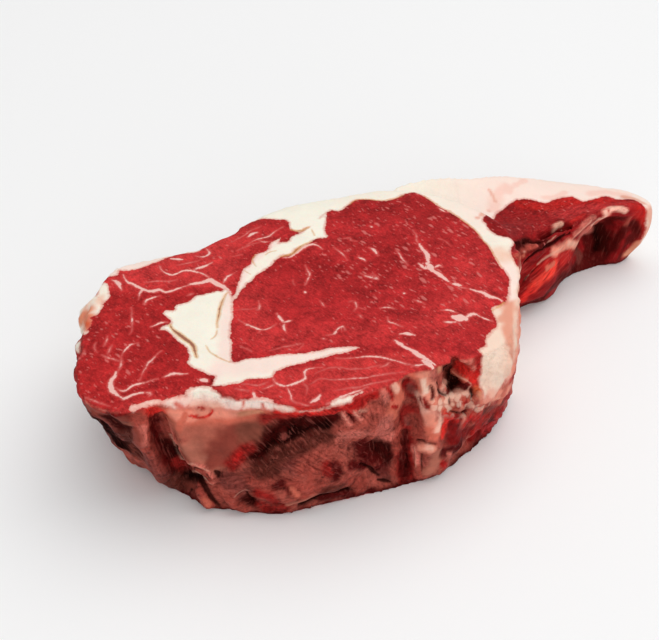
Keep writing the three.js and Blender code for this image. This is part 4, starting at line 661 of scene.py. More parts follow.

# Crisp lines on the sides: gaps cut in and are painted black, as shade in them, and sinews are pale and stand
# out, some of them painted glints along edges. Name, width and line.
GAPS = [
    ("membrane's edge", 1, [(-73.5, -71.5, 30.5), (-73, -71.5, 27.5), (-72.5, -71, 24),
        (-72.5, -70.5, 20.5), (-71.5, -70.5, 18), (-70, -71.5, 17)]),
    ("cleft", 2, [(-69, -69.5, 8.5), (-66, -76, 16), (-64.5, -76.5, 14), (-63, -76.5, 11), (-62, -76.5, 8),
        (-60.5, -76.5, 5), (-59, -76.5, 2)]),
    ("pit", 1.8, [(-59.5, -77, 19.5), (-58.5, -77, 18.5), (-58.5, -77, 17.5)]),
    ("under the lip", 0.6, [(-68.5, -73.5, 16.5), (-66, -75.5, 20), (-64.5, -76.5, 20), (-62.5, -77.5, 19),
        (-60.5, -76, 14.5)]),
    ("right, hole", 1.8, [(-10, -71.5, 16.5), (-8.5, -71, 15), (-6.5, -66.5, 9), (-4.5, -66.5, 7)]),
    ("right, hole low", 1.6, [(-4.5, -67.5, 5.5), (-2.5, -67, 4.5), (0, -66.5, 3)]),
    ("corner groove", 0.7, [(3.5, -62.5, 24), (4, -63, 18), (4.5, -62.5, 11), (5, -62.5, 5.5),
        (5, -63.5, 2.5)]),
    ("above the lump", 0.8, [(8, -64, 21), (10, -64.5, 21.5), (12.5, -65, 21), (14.5, -65, 21)]),
    ("below the lump", 0.6, [(10, -65.5, 16), (10, -65, 12), (10.5, -63.5, 5.5)]),
    ("crumbs", 0.8, [(18.5, -61.5, 33), (21, -60.5, 31.5), (23.5, -57.5, 28.5), (26, -55, 26)]),
    ("crumbs, up", 0.6, [(18.5, -58, 35.5), (18.5, -60.5, 35)]),
    ("ring", 0.8, [(27, -51.5, 34), (27.5, -54, 33.5), (27, -55.5, 32.5)]),
    ("tube", 1, [(14.5, -59.5, 44), (15, -59.5, 41), (15.5, -59.5, 39), (17.5, -58, 36.5)]),
    ("tail crevice", 2, [(53.5, 27, 27), (55.5, 26.5, 29.5), (58.5, 29, 30.5), (61.5, 31, 30.5),
        (64.5, 36, 29), (67.5, 38.5, 29.5), (71, 42, 29), (73.5, 44.5, 28)]),
    ("tail crevice, upper", 0.9, [(44.5, 8.5, 48.5), (47.5, 9, 48), (54, 29.5, 34.5), (57, 32.5, 33.5),
        (60.5, 34.5, 32)]),
    ("tail crevice, root", 1.6, [(44.5, 5.5, 48.5), (45.5, 2.5, 48), (46.5, 0, 47.5)]),
    ("by the tail", 0.8, [(41, -7.5, 47.5), (43, -8, 47), (45.5, -7, 46.5)]),
    ("slab, fold", 0.5, [(53.5, 26.5, 17), (55, 27, 20), (57, 28, 22), (59.5, 30, 23)]),
    ("foot", 1.5, [(-31, -77.5, 3.5), (-28, -77, 4.5), (-25.5, -77, 6), (-21, -75.5, 5.5), (-18, -74, 5.5),
        (-14.5, -72.5, 5.5)]),
    ("small finger", 1, [(-70, -70.5, 1.5), (-69, -70, 3), (-66.5, -76.5, 11.5)]),
    ("second finger", 1, [(-49.5, -79, 11), (-48, -79, 8), (-47, -79, 5.5)]),
    ("pocket, left", 0.5, [(-16, -75, 44.5), (-15, -74.5, 43), (-14, -74.5, 41)]),
    ("tail streak", 0.5, [(74, 46, 29.5), (76, 48, 29.5), (78.5, 50, 29.5)]),
]
SINEWS_AND_GLINTS = [
    ("lip", 0.8, [(-74.5, -71.5, 30), (-73.5, -71, 26.5), (-73, -70.5, 23.5), (-72.5, -70.5, 20.5),
        (-71.5, -70.5, 17.5), (-69.5, -72, 18), (-67, -75, 22), (-65, -76, 21.5), (-63, -76.5, 20.5),
        (-61.5, -77, 20)]),
    ("lip, lower", 0.8, [(-68.5, -73, 15), (-66, -75.5, 18), (-64, -77, 17), (-62.5, -76, 14),
        (-60.5, -75.5, 13)]),
    ("low front, arm", 0.3, [(-53.5, -79, 9.5), (-51, -78.5, 12), (-48.5, -79, 12.5)]),
    ("under the rim", 0.5, [(-17.5, -75.5, 45.5), (-16.5, -75, 42.5), (-15, -74.5, 39.5)]),
    ("under the rim, arm", 0.5, [(-14, -74, 46), (-13, -74, 43.5), (-11.5, -74, 42)]),
    ("corner, streak", 0.8, [(8.5, -61.5, 47.5), (9.5, -62, 43.5), (9.5, -62.5, 39.5), (10, -63, 37)]),
    ("column's glint", 0.6, [(14.5, -59.5, 43), (14.5, -60, 40.5)]),
    ("crumb edge", 0.7, [(21, -56.5, 35), (23, -54.5, 34.5), (25.5, -53, 34.5), (26.5, -51.5, 35.5)]),
    ("ring", 0.8, [(22.5, -57, 33.5), (23, -58.5, 32), (25, -55.5, 28), (27, -54, 28),
        (27.5, -55.5, 32.5)]),
    ("flap, edge", 0.7, [(20.5, -49, 39.5), (22.5, -50.5, 39), (24.5, -52, 38.5), (26.5, -51.5, 36)]),
    ("right fold", 0.6, [(31.5, -52.5, 28), (34.5, -50.5, 27.5), (38, -43.5, 22.5), (41.5, -38, 19)]),
    ("right fold, low", 0.5, [(29, -52.5, 24.5), (31, -51, 24.5), (34, -49, 24)]),
    ("left strand", 0.6, [(7.5, -64.5, 18.5), (8, -65, 14.5), (8.5, -63.5, 8.5)]),
    ("slab, edge", 1.2, [(59, 30.5, 23.5), (62, 33.5, 24.5), (65.5, 35.5, 25.5), (69, 38.5, 25.5),
        (72, 42, 26)]),
    ("slab, thread", 0.4, [(54, 27, 18), (56, 27, 21.5), (58, 29, 23)]),
    ("tail strand", 0.8, [(73.5, 44, 25), (76.5, 46.5, 26.5), (79.5, 50, 27.5), (82.5, 52, 29)]),
    ("tail strand, upper", 0.5, [(76, 49, 30), (79, 52.5, 30), (82.5, 55.5, 30)]),
    ("tail fold", 0.7, [(62, 33.5, 31.5), (64, 36, 31), (66.5, 38.5, 32), (70, 47.5, 27.5)]),
    ("crevice, bead", 1.6, [(47, 5, 48), (53, 27.5, 32)]),
]

# Fat on the sides, with a clean edge: name, half width and line.
SIDE_FAT = [
    ("front band, left end", 1, [(-84.5, -78, 49.5), (-81.5, -76.5, 49.5), (-79, -75.5, 49.5),
        (-76, -74.5, 49)]),
    ("front band, left", 2, [(-73.5, -75, 49), (-70.5, -74, 48), (-68, -72.5, 47.5)]),
    ("front band, high", 3.6, [(-65, -71, 47.5), (-62, -70.5, 47.5), (-59.5, -71, 46.5)]),
    ("front band, middle", 2.4, [(-56.5, -72, 46), (-52, -73.5, 46.5), (-47.5, -74, 47), (-44.5, -74.5, 48),
        (-41, -75.5, 48)]),
    ("front band, right", 1.6, [(-39, -76, 48), (-35.5, -76.5, 47.5), (-33.5, -77, 47.5)]),
    ("front band, thin", 0.6, [(-33, -77, 47), (-29.5, -77, 46.5), (-25, -77, 47.5), (-22, -77, 48.5)]),
    ("front band, right end", 1.2, [(-20.5, -76, 50), (-18, -75, 50), (-15, -74, 50)]),
    ("front band, tip", 0.6, [(-15, -74, 50), (-13, -72.5, 50.5), (-11, -71, 50.5)]),
    ("left knob", 4.2, [(-106, -21.5, 46), (-104, -24.5, 48), (-104, -27, 48)]),
    ("left knob, edge", 3.4, [(-108, -22, 43), (-108, -30, 42)]),
    ("left knob, foot", 2.8, [(-106.5, -30, 46), (-105, -35, 47)]),
    ("left knob, bead", 1.2, [(-105.5, -37.5, 48), (-104.5, -39, 48.5)]),
    ("left knob, upper", 2.4, [(-102, -14.5, 48.5), (-101, -17.5, 48.5), (-101, -21, 48.5)]),
    ("left bit", 1.5, [(-107, -43, 46), (-107.5, -46, 45.5)]),
    ("right strip, core", 3.6, [(35, -45, 47), (35.5, -47.5, 42)]),
    ("right strip, low core", 3.0, [(35.5, -48.5, 36), (36.5, -47.5, 34)]),
    ("right wall, towards the notch", 9, [(48, -1, 36), (48, 1, 28), (47, 3, 18), (46, 3, 6), (46, 3, 0)]),
    ("tail's tip", 1.7, [(105.5, 67, 28), (107.5, 64, 27.5), (109.5, 62.5, 24.5)]),
    ("tail's tip, lower", 0.4, [(109.8, 62.5, 24), (110, 63.5, 20), (110, 63, 15)]),
]

# Crumbs of torn fat beside the corner: their size, how far they reach, and the line they lie along.
CRUMB_SIZE = 2.3
CRUMBS_REACH = 5.5
CRUMBS = [(15.5, -61.5, 36.5), (20, -59, 33.5), (24, -57, 31), (28, -53.5, 28), (31, -51, 26.5)]


# --------------------------------------------------------------------------------------------------
def rounded(line, closed=False, steps=3):
    """The line with a smooth curve through its points."""
    points = np.array(line, float)
    count = len(points)
    if count < 3:
        return points
    curve = []
    spans = count if closed else count - 1
    for i in range(spans):
        if closed:
            before, start, end, after = (points[(i + k) % count] for k in (-1, 0, 1, 2))
        else:
            before, start, end, after = (points[min(max(i + k, 0), count - 1)] for k in (-1, 0, 1, 2))
        for step in range(steps):
            t = step / steps
            curve.append(0.5 * (2 * start + (end - before) * t
                                + (2 * before - 5 * start + 4 * end - after) * t ** 2
                                + (3 * start - before - 3 * end + after) * t ** 3))
    if not closed:
        curve.append(points[-1])
    return np.array(curve)


def nearest(points, line):
    """How far every point is from the line, and the way to the nearest place on it.

    Gives back as well how far along the line that place is, from 0 to 1.
    """
    lengths = np.linalg.norm(np.diff(line, axis=0), axis=1)
    covered = np.concatenate([[0], np.cumsum(lengths)])
    distance = np.full(len(points), np.inf)
    offset = np.zeros_like(points)
    share = np.zeros(len(points))
    for start, end, before, length in zip(line, line[1:], covered, lengths):
        run = end - start
        t = np.clip((points - start) @ run / max(length ** 2, 1e-9), 0, 1)
        there = start + t[:, None] * run - points
        far = np.linalg.norm(there, axis=1)
        closer = far < distance
        distance[closer] = far[closer]
        offset[closer] = there[closer]
        share[closer] = (before + t[closer] * length) / max(covered[-1], 1e-9)
    return distance, offset, share


def nearest_within(points, line, margin):
    """The same for the points that are near the line's box, and which ones they are."""
    close = np.flatnonzero(np.all((points > line.min(0) - margin) & (points < line.max(0) + margin), axis=1))
    return close, *nearest(points[close], line)


def depth_inside(points, outline):
    """How deep every point lies inside the closed outline: below 0 outside it."""
    curve = rounded(outline, closed=True)
    closed = np.vstack([curve, curve[:1]])
    distance = nearest(points, closed)[0]
    x, y = points.T
    inside = np.zeros(len(points), bool)
    for (x0, y0), (x1, y1) in zip(closed, closed[1:]):
        if y0 != y1:
            inside ^= ((y0 > y) != (y1 > y)) & (x < (x1 - x0) * (y - y0) / (y1 - y0) + x0)
    return np.where(inside, distance, -distance)


def blend(values, low, high):
    """0 where a value is at most low, 1 where it is at least high, and a smooth step between."""
    t = np.clip((values - low) / (high - low), 0, 1)
    return t * t * (3 - 2 * t)


def wander(points, size, place):
    """Smooth noise from about -1 to 1 at every point, with lumps of the given size, taken from one place."""
    shift = Vector((place * 17.3, place * 5.9, place * 31.1))
    return np.array([noise.noise(Vector(point) / size + shift) for point in points])


# --------------------------------------------------------------------------------------------------
def only(piece):
    """Makes the piece the only one that is selected, and the active one."""
    bpy.ops.object.select_all(action="DESELECT")
    piece.select_set(True)
    bpy.context.view_layer.objects.active = piece


def finish_with(piece, kind, **settings):
    """Gives the piece a modifier with these settings, and applies it."""
    only(piece)
    modifier = piece.modifiers.new(kind.lower(), kind)
    for name, value in settings.items():
        setattr(modifier, name, value)
    bpy.ops.object.modifier_apply(modifier=modifier.name)


def fine_copy(node, name, grid):
    """A copy of a solid with its corners joined, in an even mesh of small squares."""
    piece = bpy.data.objects.new(name, node.data.copy())
    bpy.context.scene.collection.objects.link(piece)
    only(piece)
    bpy.ops.object.mode_set(mode="EDIT")
    bpy.ops.mesh.select_all(action="SELECT")
    bpy.ops.mesh.remove_doubles(threshold=1e-6)
    bpy.ops.object.mode_set(mode="OBJECT")
    finish_with(piece, "REMESH", mode="VOXEL", voxel_size=grid * MM, use_smooth_shade=True)
    finish_with(piece, "SMOOTH", factor=0.5, iterations=6)
    return piece


class Skin:
    """The points of a piece in millimetres and their outward directions, to be pushed about and painted."""

    def __init__(self, piece):
        self.mesh = piece.data
        self.count = len(self.mesh.vertices)
        self.read()

    def read(self):
        """Takes the points and their directions from the mesh."""
        flat = np.zeros(self.count * 3, np.float32)
        self.mesh.vertices.foreach_get("co", flat)
        self.points = flat.reshape(-1, 3).astype(float) / MM
        self.mesh.vertex_normals.foreach_get("vector", flat)
        self.normals = flat.reshape(-1, 3).astype(float)

    def push(self, lift):
        """Moves every point outwards by its lift, and none below the table or off the flat underside."""
        moved = self.points + self.normals * lift[:, None]
        underside = (self.points[:, 2] < UNDERSIDE_TOP) & (self.normals[:, 2] < -0.5)
        moved[underside] = self.points[underside]
        moved[:, 2] = np.maximum(moved[:, 2], 0)
        self.mesh.vertices.foreach_set("co", (moved * MM).astype(np.float32).ravel())
        self.mesh.update()
        self.read()

    def keep(self, name, values):
        """Keeps a number, a direction or a colour for every point, for the material to read."""
        kinds = {1: ("FLOAT", "value"), 3: ("FLOAT_VECTOR", "vector"), 4: ("FLOAT_COLOR", "color")}
        kind, field = kinds[1 if values.ndim == 1 else values.shape[1]]
        layer = self.mesh.attributes.new(name, kind, "POINT")
        layer.data.foreach_set(field, values.astype(np.float32).ravel())


# The side of the mesh's squares, and up to what height a point can belong to the underside.
GRID = 0.87
UNDERSIDE_TOP = 0.6

steak = fine_copy(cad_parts["steak"], "steak_meat", GRID)
skin = Skin(steak)

# Lines of one kind lie on so many layers, so that close ones do not disturb each other. A line only
# counts for points within its reach, and the others keep a distance that stands for far away.
LAYERS = {"thread": 3, "crack": 2, "gap": 2, "sinew_and_glint": 2}
LINE_REACH = 3
FAR_AWAY = 9.0


def keep_lines(name, points, lines):
    """Keeps for every point the way to the nearest line of each layer and how wide and how far that line is.

    Gives back how far every point is from the edge of the nearest line of all.
    """
    shelves = [[] for layer in range(LAYERS[name])]
    for what, width, line in lines:
        curve = rounded(line)

        def room(shelf):
            return min((np.linalg.norm(curve[:, None] - other, axis=2).min() - (width + wide) / 2
                        for wide, other in shelf), default=99)
        max(shelves, key=room).append((width, curve))
    nearest_of_all = np.full(skin.count, FAR_AWAY)
    for number, shelf in enumerate(shelves):
        far = np.full(skin.count, FAR_AWAY)
        half_width = np.full(skin.count, 0.3)
        way_there = np.zeros((skin.count, 3))
        for width, curve in shelf:
            close, distance, offset, share = nearest_within(points, curve, LINE_REACH)
            # Every line tapers from its middle to its ends.
            half = width / 2 * (0.45 + 0.55 * np.sin(np.pi * np.clip(share, 0.08, 0.92)))
            better = distance - half < far[close]
            chosen = close[better]
            far[chosen] = (distance - half)[better]
            half_width[chosen] = half[better]
            way_there[chosen, :points.shape[1]] = offset[better]
        skin.keep(f"{name}_{number}_far", far)
        skin.keep(f"{name}_{number}_half", half_width)
        skin.keep(f"{name}_{number}_offset", way_there)
        nearest_of_all = np.minimum(nearest_of_all, far)
    return nearest_of_all


# --------------------------------------------------------------------------------------------------
# The height from which the body counts as its upper cut face, and how much lower that is on the tail.
FACE_HEIGHT = 42
TAIL_DROP = 20


def face_share(skin):
    """1 on the two cut faces and 0 on the sides."""
    flatness = np.abs(skin.normals[:, 2])
    height = skin.points[:, 2]
    on_tail = blend(skin.points[:, 0], 26, 36) * blend(skin.points[:, 1], 18, 28)
    tall = FACE_HEIGHT - TAIL_DROP * on_tail
    near_a_face = np.maximum(blend(height, tall, tall + 4), 1 - blend(height, 0.3, 1.5))
    return blend(flatness, 0.5, 0.8) * near_a_face


cut_face = face_share(skin)
side = 1 - cut_face


# --------------------------------------------------------------------------------------------------
def brushed(colours, paint, share):
    """The colours with a paint laid over them, by its share at every point."""
    return colours + (np.array(linear(paint)) - colours) * share[:, None]


def reached(points, line, reach, margin, waviness, full, none):
    """The points near a stroke, how far they are from its line, and its share of each.

    The share is 1 up to full times the reach and 0 from none times the reach, with a wavy edge.
    """
    close, distance = nearest_within(points, rounded(line), margin * reach)[:2]
    wavy = distance + reach * waviness * frayed[close]
    return close, distance, 1 - blend(wavy, reach * full, reach * none)


# Paints of membranes and fat, and how torn the sides are under them, where 1 is bare torn meat.
SMOOTH_PAINTS = {"membrane", "fawn", "rosy", "salmon", "olive", "brown", "tan", "pale", "peach", "blush"}
SMOOTH_TEARING = 0.2

# How deep the gaps go, and how high sinews and the lobes of torn meat stand.
GAP_DEPTH = 0.8
SINEW_HEIGHT = 0.4
LOBE_HEIGHT = 1.4
SMALL_LOBE_HEIGHT = 0.9
MIDDLE_OF_LOBES = 0.25

# How much painted shade darkens the folds between the lobes.
FOLD_SHADE = 0.22

# The sides: their paint and forms, stroke by stroke, and the unevenness of torn meat between them.
x, y, z = skin.points.T
frayed = wander(skin.points, 3.0, 8)
anywhere = np.maximum(side, blend(x, 44, 48))
front = blend(-y, -30, 10)
torn = np.ones(skin.count)
lift = np.zeros(skin.count)
# Where the sides meet the table, which gets painted shade.
foot_shade = (1 - blend(z, 0.5, 3)) * blend(skin.normals[:, 2], -0.97, -0.8)

# The lean's paint: every muscle has its own red, and the torn walls are duller.
lean = np.tile(np.array(linear("eye")), (skin.count, 1))
lean = brushed(lean, "left", blend(-x, 52, 58) * blend(-y, 14, 20))
lean = brushed(lean, "far", blend(-x, 50, 58) * blend(y, -20, -14))
lean = brushed(lean, "strip", blend(-y + 0.28 * (x + 60), 66, 70) * blend(-y, 50, 54))
lean = brushed(lean, "tail lean", blend(x, 34, 38) * blend(y, 8, 14))
lean = brushed(lean, "wall", side * blend(-y, 40, 50))
lean = brushed(lean, "dusk", side * blend(-x, 92, 98))
lean = brushed(lean, "side", side * blend(x, 34, 40) * blend(y, -36, -26) * (1 - blend(y, 6, 12)))
for what, paint, much, reach, line in LEAN_TINTS:
    close, distance, share = reached(skin.points[:, :2], line, reach,
                                     margin=1.6, waviness=0.35, full=0.3, none=1.3)
    lean[close] = brushed(lean[close], paint, much * cut_face[close] * share)
# These strokes lay painted shade in hollows and grooves, and painted highlights on some ridges and lumps.
for what, paint, reach, height, line in SIDE_STROKES:
    close, distance, share = reached(skin.points, line, reach,
                                     margin=2.5, waviness=0.3, full=0.45, none=1.25)
    lift[close] += height * np.exp(-(distance / reach) ** 2) * anywhere[close]
    covered = anywhere[close] * share
    lean[close] = brushed(lean[close], paint, covered)
    tearing = SMOOTH_TEARING if paint in SMOOTH_PAINTS else 1
    torn[close] += (tearing - torn[close]) * covered
rough = side * (0.25 + 0.75 * front) * torn
# Painted shade: the foot of the sides is painted maroon, as shade next to the table.
lean = brushed(lean, "maroon", foot_shade)

# Gaps, sinews, the lobes of torn meat with painted shade in the folds between them, and soft waves on the cut
# faces.
lift -= GAP_DEPTH * anywhere * (1 - blend(keep_lines("gap", skin.points, GAPS), -0.4, 1))
lift += SINEW_HEIGHT * anywhere * (1 - blend(keep_lines("sinew_and_glint", skin.points, SINEWS_AND_GLINTS), -0.2, 1))
lobes = np.abs(wander(skin.points, 7.0, 1))
small_lobes = np.abs(wander(skin.points, 3.2, 2))
lift += rough * (LOBE_HEIGHT * (lobes - MIDDLE_OF_LOBES)
                 + SMALL_LOBE_HEIGHT * (small_lobes - MIDDLE_OF_LOBES))
lift += cut_face * (0.3 * wander(skin.points, 9.0, 3) + 0.12 * wander(skin.points, 2.5, 4))
folds = np.maximum(np.exp(-(lobes / 0.07) ** 2), 0.7 * np.exp(-(small_lobes / 0.09) ** 2))
lean[:, :3] *= (1 - FOLD_SHADE * rough * folds)[:, None]
skin.keep("lean_colour", lean)
skin.keep("cut_face", cut_face)
skin.keep("coarse", rough)
skin.push(lift)

# Places squeezed along the fibres, so that noise on them comes out in streaks.
way = np.tile((0.15, 0.0, -0.99), (skin.count, 1))
way[cut_face > 0.5] = (0.64, -0.77, 0)
hairy = 0.4 * side
closeness = np.full(skin.count, 1.3)
for what, runs, much, reach, line in FIBRES:
    close, distance = nearest_within(skin.points, rounded(line), 1.3 * reach)[:2]
    closer = (distance / reach < closeness[close]) & (anywhere[close] > 0.5)
    chosen = close[closer]
    closeness[chosen] = (distance / reach)[closer]
    way[chosen] = np.array(runs) / np.linalg.norm(runs)
    hairy[chosen] += (much - hairy[chosen]) * (1 - blend(closeness[chosen], 0.5, 1.3))
hairy *= torn * (1 - blend(z, 43, 48) * blend(skin.normals[:, 2], -0.2, 0.3))
along = np.sum(skin.points * way, axis=1)
skin.keep("fibre_place", (skin.points - way * (along * np.where(cut_face > 0.5, 0.6, 0.9))[:, None]) * MM)
skin.keep("hairy", hairy)

# Where the side is crumbly.
close, distance = nearest_within(skin.points, rounded(CRUMBS), CRUMBS_REACH)[:2]
crumbly = np.zeros(skin.count)
crumbly[close] = anywhere[close] * (1 - blend(distance, CRUMBS_REACH / 2, CRUMBS_REACH))
skin.keep("crumbly", crumbly)

# --------------------------------------------------------------------------------------------------
# Lean and fat seen from above. The lines waver a little, as cut fat does.
waver = np.stack([wander(skin.points, 4.0, 5), wander(skin.points, 4.0, 6)], axis=1)
plan = skin.points[:, :2] + 0.5 * waver

x, y, z = skin.points.T
fat_depth = np.maximum(depth_inside(plan, WEDGE_AND_LOW_SEAM), depth_inside(plan, SEAM_TO_THE_BACK))
cap_depth = np.minimum(depth_inside(plan, CAP_AND_RIGHT_STRIP), -depth_inside(plan, TAIL_MUSCLE))
strip_foot = STRIP_FOOT * (1 - blend(y, *STRIP_FOOT_FADES))
above_foot = (z - strip_foot) / 1.5 + 2 * waver[:, 0]
cap_depth = np.where(x > 25, np.minimum(cap_depth, above_foot), cap_depth)
fat_depth = np.maximum(fat_depth, cap_depth)
down_the_back = 8 * (skin.normals[:, 1] - 0.6) + 1.5 * waver[:, 0]
fat_depth = np.where((side > 0.5) & (x < 30), np.maximum(fat_depth, down_the_back), fat_depth)
for what, half, line in SIDE_FAT:
    distance = nearest(skin.points + 0.6 * np.pad(waver, ((0, 0), (0, 1))), rounded(line))[0]
    fat_depth = np.maximum(fat_depth, half - distance)
skin.keep("fat_depth", fat_depth)

keep_lines("thread", plan, FAT_THREADS)
keep_lines("crack", plan, CRACKS_AND_SHADE_LINES)


# --------------------------------------------------------------------------------------------------
def around(points, centre, radius):
    """1 in the middle of a round area seen from above, and 0 outside it."""
    return 1 - blend(np.linalg.norm(points[:, :2] - np.array(centre), axis=1), radius * 0.5, radius)


fat = np.tile(np.array(linear("fat")), (skin.count, 1))
fat = brushed(fat, "cream", around(skin.points, (-64, -36), 26))
fat = brushed(fat, "cream", around(skin.points, (-35, 24), 30))
fat = brushed(fat, "rosefat", blend(x, 10, 45) * blend(y, 10, 30))
fat = brushed(fat, "butter", blend(x, 20, 30) * blend(-y, -10, 0))
upright = 1 - blend(np.abs(skin.normals[:, 2]), 0.25, 0.6)
fat = brushed(fat, "back", upright * blend(y, -20, -5))
for what, paint, reach, line in FAT_TINTS:
    close, distance, share = reached(skin.points, line, reach, margin=1.6, waviness=0.4, full=0.3, none=1.3)
    fat[close] = brushed(fat[close], paint, share)
skin.keep("fat_colour", fat)

# How much fine marbling the lean of the cut has.
marbled = (0.35 + 0.55 * around(skin.points, (8, 2), 44) - 0.25 * around(skin.points, (-34, -22), 26)
           + 0.35 * around(skin.points, (-95, -50), 26))
skin.keep("marbled", marbled)


# --------------------------------------------------------------------------------------------------
class Value:
    """A number in a material's nodes. Sums on it add the nodes that work them out."""

    def __init__(self, recipe, socket):
        self.recipe = recipe
        self.socket = socket

    def other(self, output):
        """Another output of the same node."""
        return Value(self.recipe, self.socket.node.outputs[output])

    def sum(self, operation, first, second):
        """What one sum on two numbers comes to."""
        return self.recipe.node("ShaderNodeMath", {"operation": operation}, {0: first, 1: second})

    def __add__(self, other):
        return self.sum("ADD", self, other)

    __radd__ = __add__

    def __sub__(self, other):
        return self.sum("SUBTRACT", self, other)

    def __rsub__(self, other):
        return self.sum("SUBTRACT", other, self)

    def __mul__(self, other):
        return self.sum("MULTIPLY", self, other)

    __rmul__ = __mul__


class Recipe:
    """A material's nodes."""

    def __init__(self, name):
        self.material = bpy.data.materials.new(name)
        self.material.use_nodes = True
        self.tree = self.material.node_tree
        self.tree.nodes.clear()

    def node(self, kind, settings=None, values=None, output=0):
        """Adds a node: its settings first, then the values or links of its sockets.

        Gives back one of its outputs.
        """
        made = self.tree.nodes.new(kind)
        for name, setting in (settings or {}).items():
            setattr(made, name, setting)
        for name, value in (values or {}).items():
            if isinstance(value, Value):
                self.tree.links.new(value.socket, made.inputs[name])
            else:
                made.inputs[name].default_value = value
        return Value(self, made.outputs[output]) if len(made.outputs) else None

    def kept(self, name, output="Fac"):
        """What the mesh keeps under a name."""
        return self.node("ShaderNodeAttribute", {"attribute_name": name}, output=output)

    def noise(self, place, size, detail=2.0, roughness=0.5, swirl=0.0):
        """Noise from 0 to 1, with lumps of the given size in millimetres."""
        return self.node("ShaderNodeTexNoise", {"noise_dimensions": "3D"},
                         {"Vector": place, "Scale": 1 / (size * MM), "Detail": detail, "Roughness": roughness,
                          "Distortion": swirl})

    def step(self, value, low, high):
        """0 up to low, 1 from high on, and a smooth step between."""
        return self.node("ShaderNodeMapRange", {"interpolation_type": "SMOOTHSTEP"},
                         {"Value": value, "From Min": low, "From Max": high})

    def length(self, vector):
        """How long a direction is."""
        return self.node("ShaderNodeVectorMath", {"operation": "LENGTH"}, {0: vector}, output="Value")

    def most(self, first, second):
        """The larger of two numbers."""
        return self.node("ShaderNodeMath", {"operation": "MAXIMUM"}, {0: first, 1: second})

    def along_lines(self, name, ragged, edge, thin=(0, 0)):
        """1 on the kept lines of a name and 0 beside them, over that width of edge.

        Lines thinner than the first number of thin are fainter, down to the share in its second.
        """
        found = 0.0
        for number in range(LAYERS[name]):
            far = self.length(self.kept(f"{name}_{number}_offset", "Vector")) + ragged
            half = self.kept(f"{name}_{number}_half")
            near = 1 - self.step(self.kept(f"{name}_{number}_far"), 0.5, 0.8)
            line = self.step(half - far, -edge, edge) * near
            if thin[0]:
                line = line * (thin[1] + (1 - thin[1]) * self.step(half, 0.2, thin[0]))
            found = self.most(line, found)
        return found

    def flecks(self, place, turn, size, share):
        """1 on small slanting flecks, one in some of the cells of the given size, and 0 between them."""
        turned = self.node("ShaderNodeMapping", {"vector_type": "TEXTURE"},
                           {"Vector": place, "Rotation": (0, 0, math.radians(turn)), "Scale": (2.4, 1, 1)})
        cells = self.node("ShaderNodeTexVoronoi", {"voronoi_dimensions": "2D"},
                          {"Vector": turned, "Scale": 1 / (size * MM)}, "Distance")
        luck = self.node("ShaderNodeSeparateColor", {}, {"Color": cells.other("Color")}, "Red")
        radius = 0.05 + 0.17 * self.step(luck + 0.5 * share, 0.85, 1.5)
        return self.step(radius - cells, -0.05, 0.08) * self.step(luck + 0.5 * share, 0.75, 1.0)

    def mix(self, share, first, second, mode="MIX"):
        """One colour over another by its share."""
        return self.node("ShaderNodeMix", {"data_type": "RGBA", "blend_type": mode},
                         {0: share, 6: first, 7: second}, output=2)

    def grey(self, value):
        """A number as a colour, to multiply with."""
        return self.node("ShaderNodeCombineColor", {}, {"Red": value, "Green": value, "Blue": value})


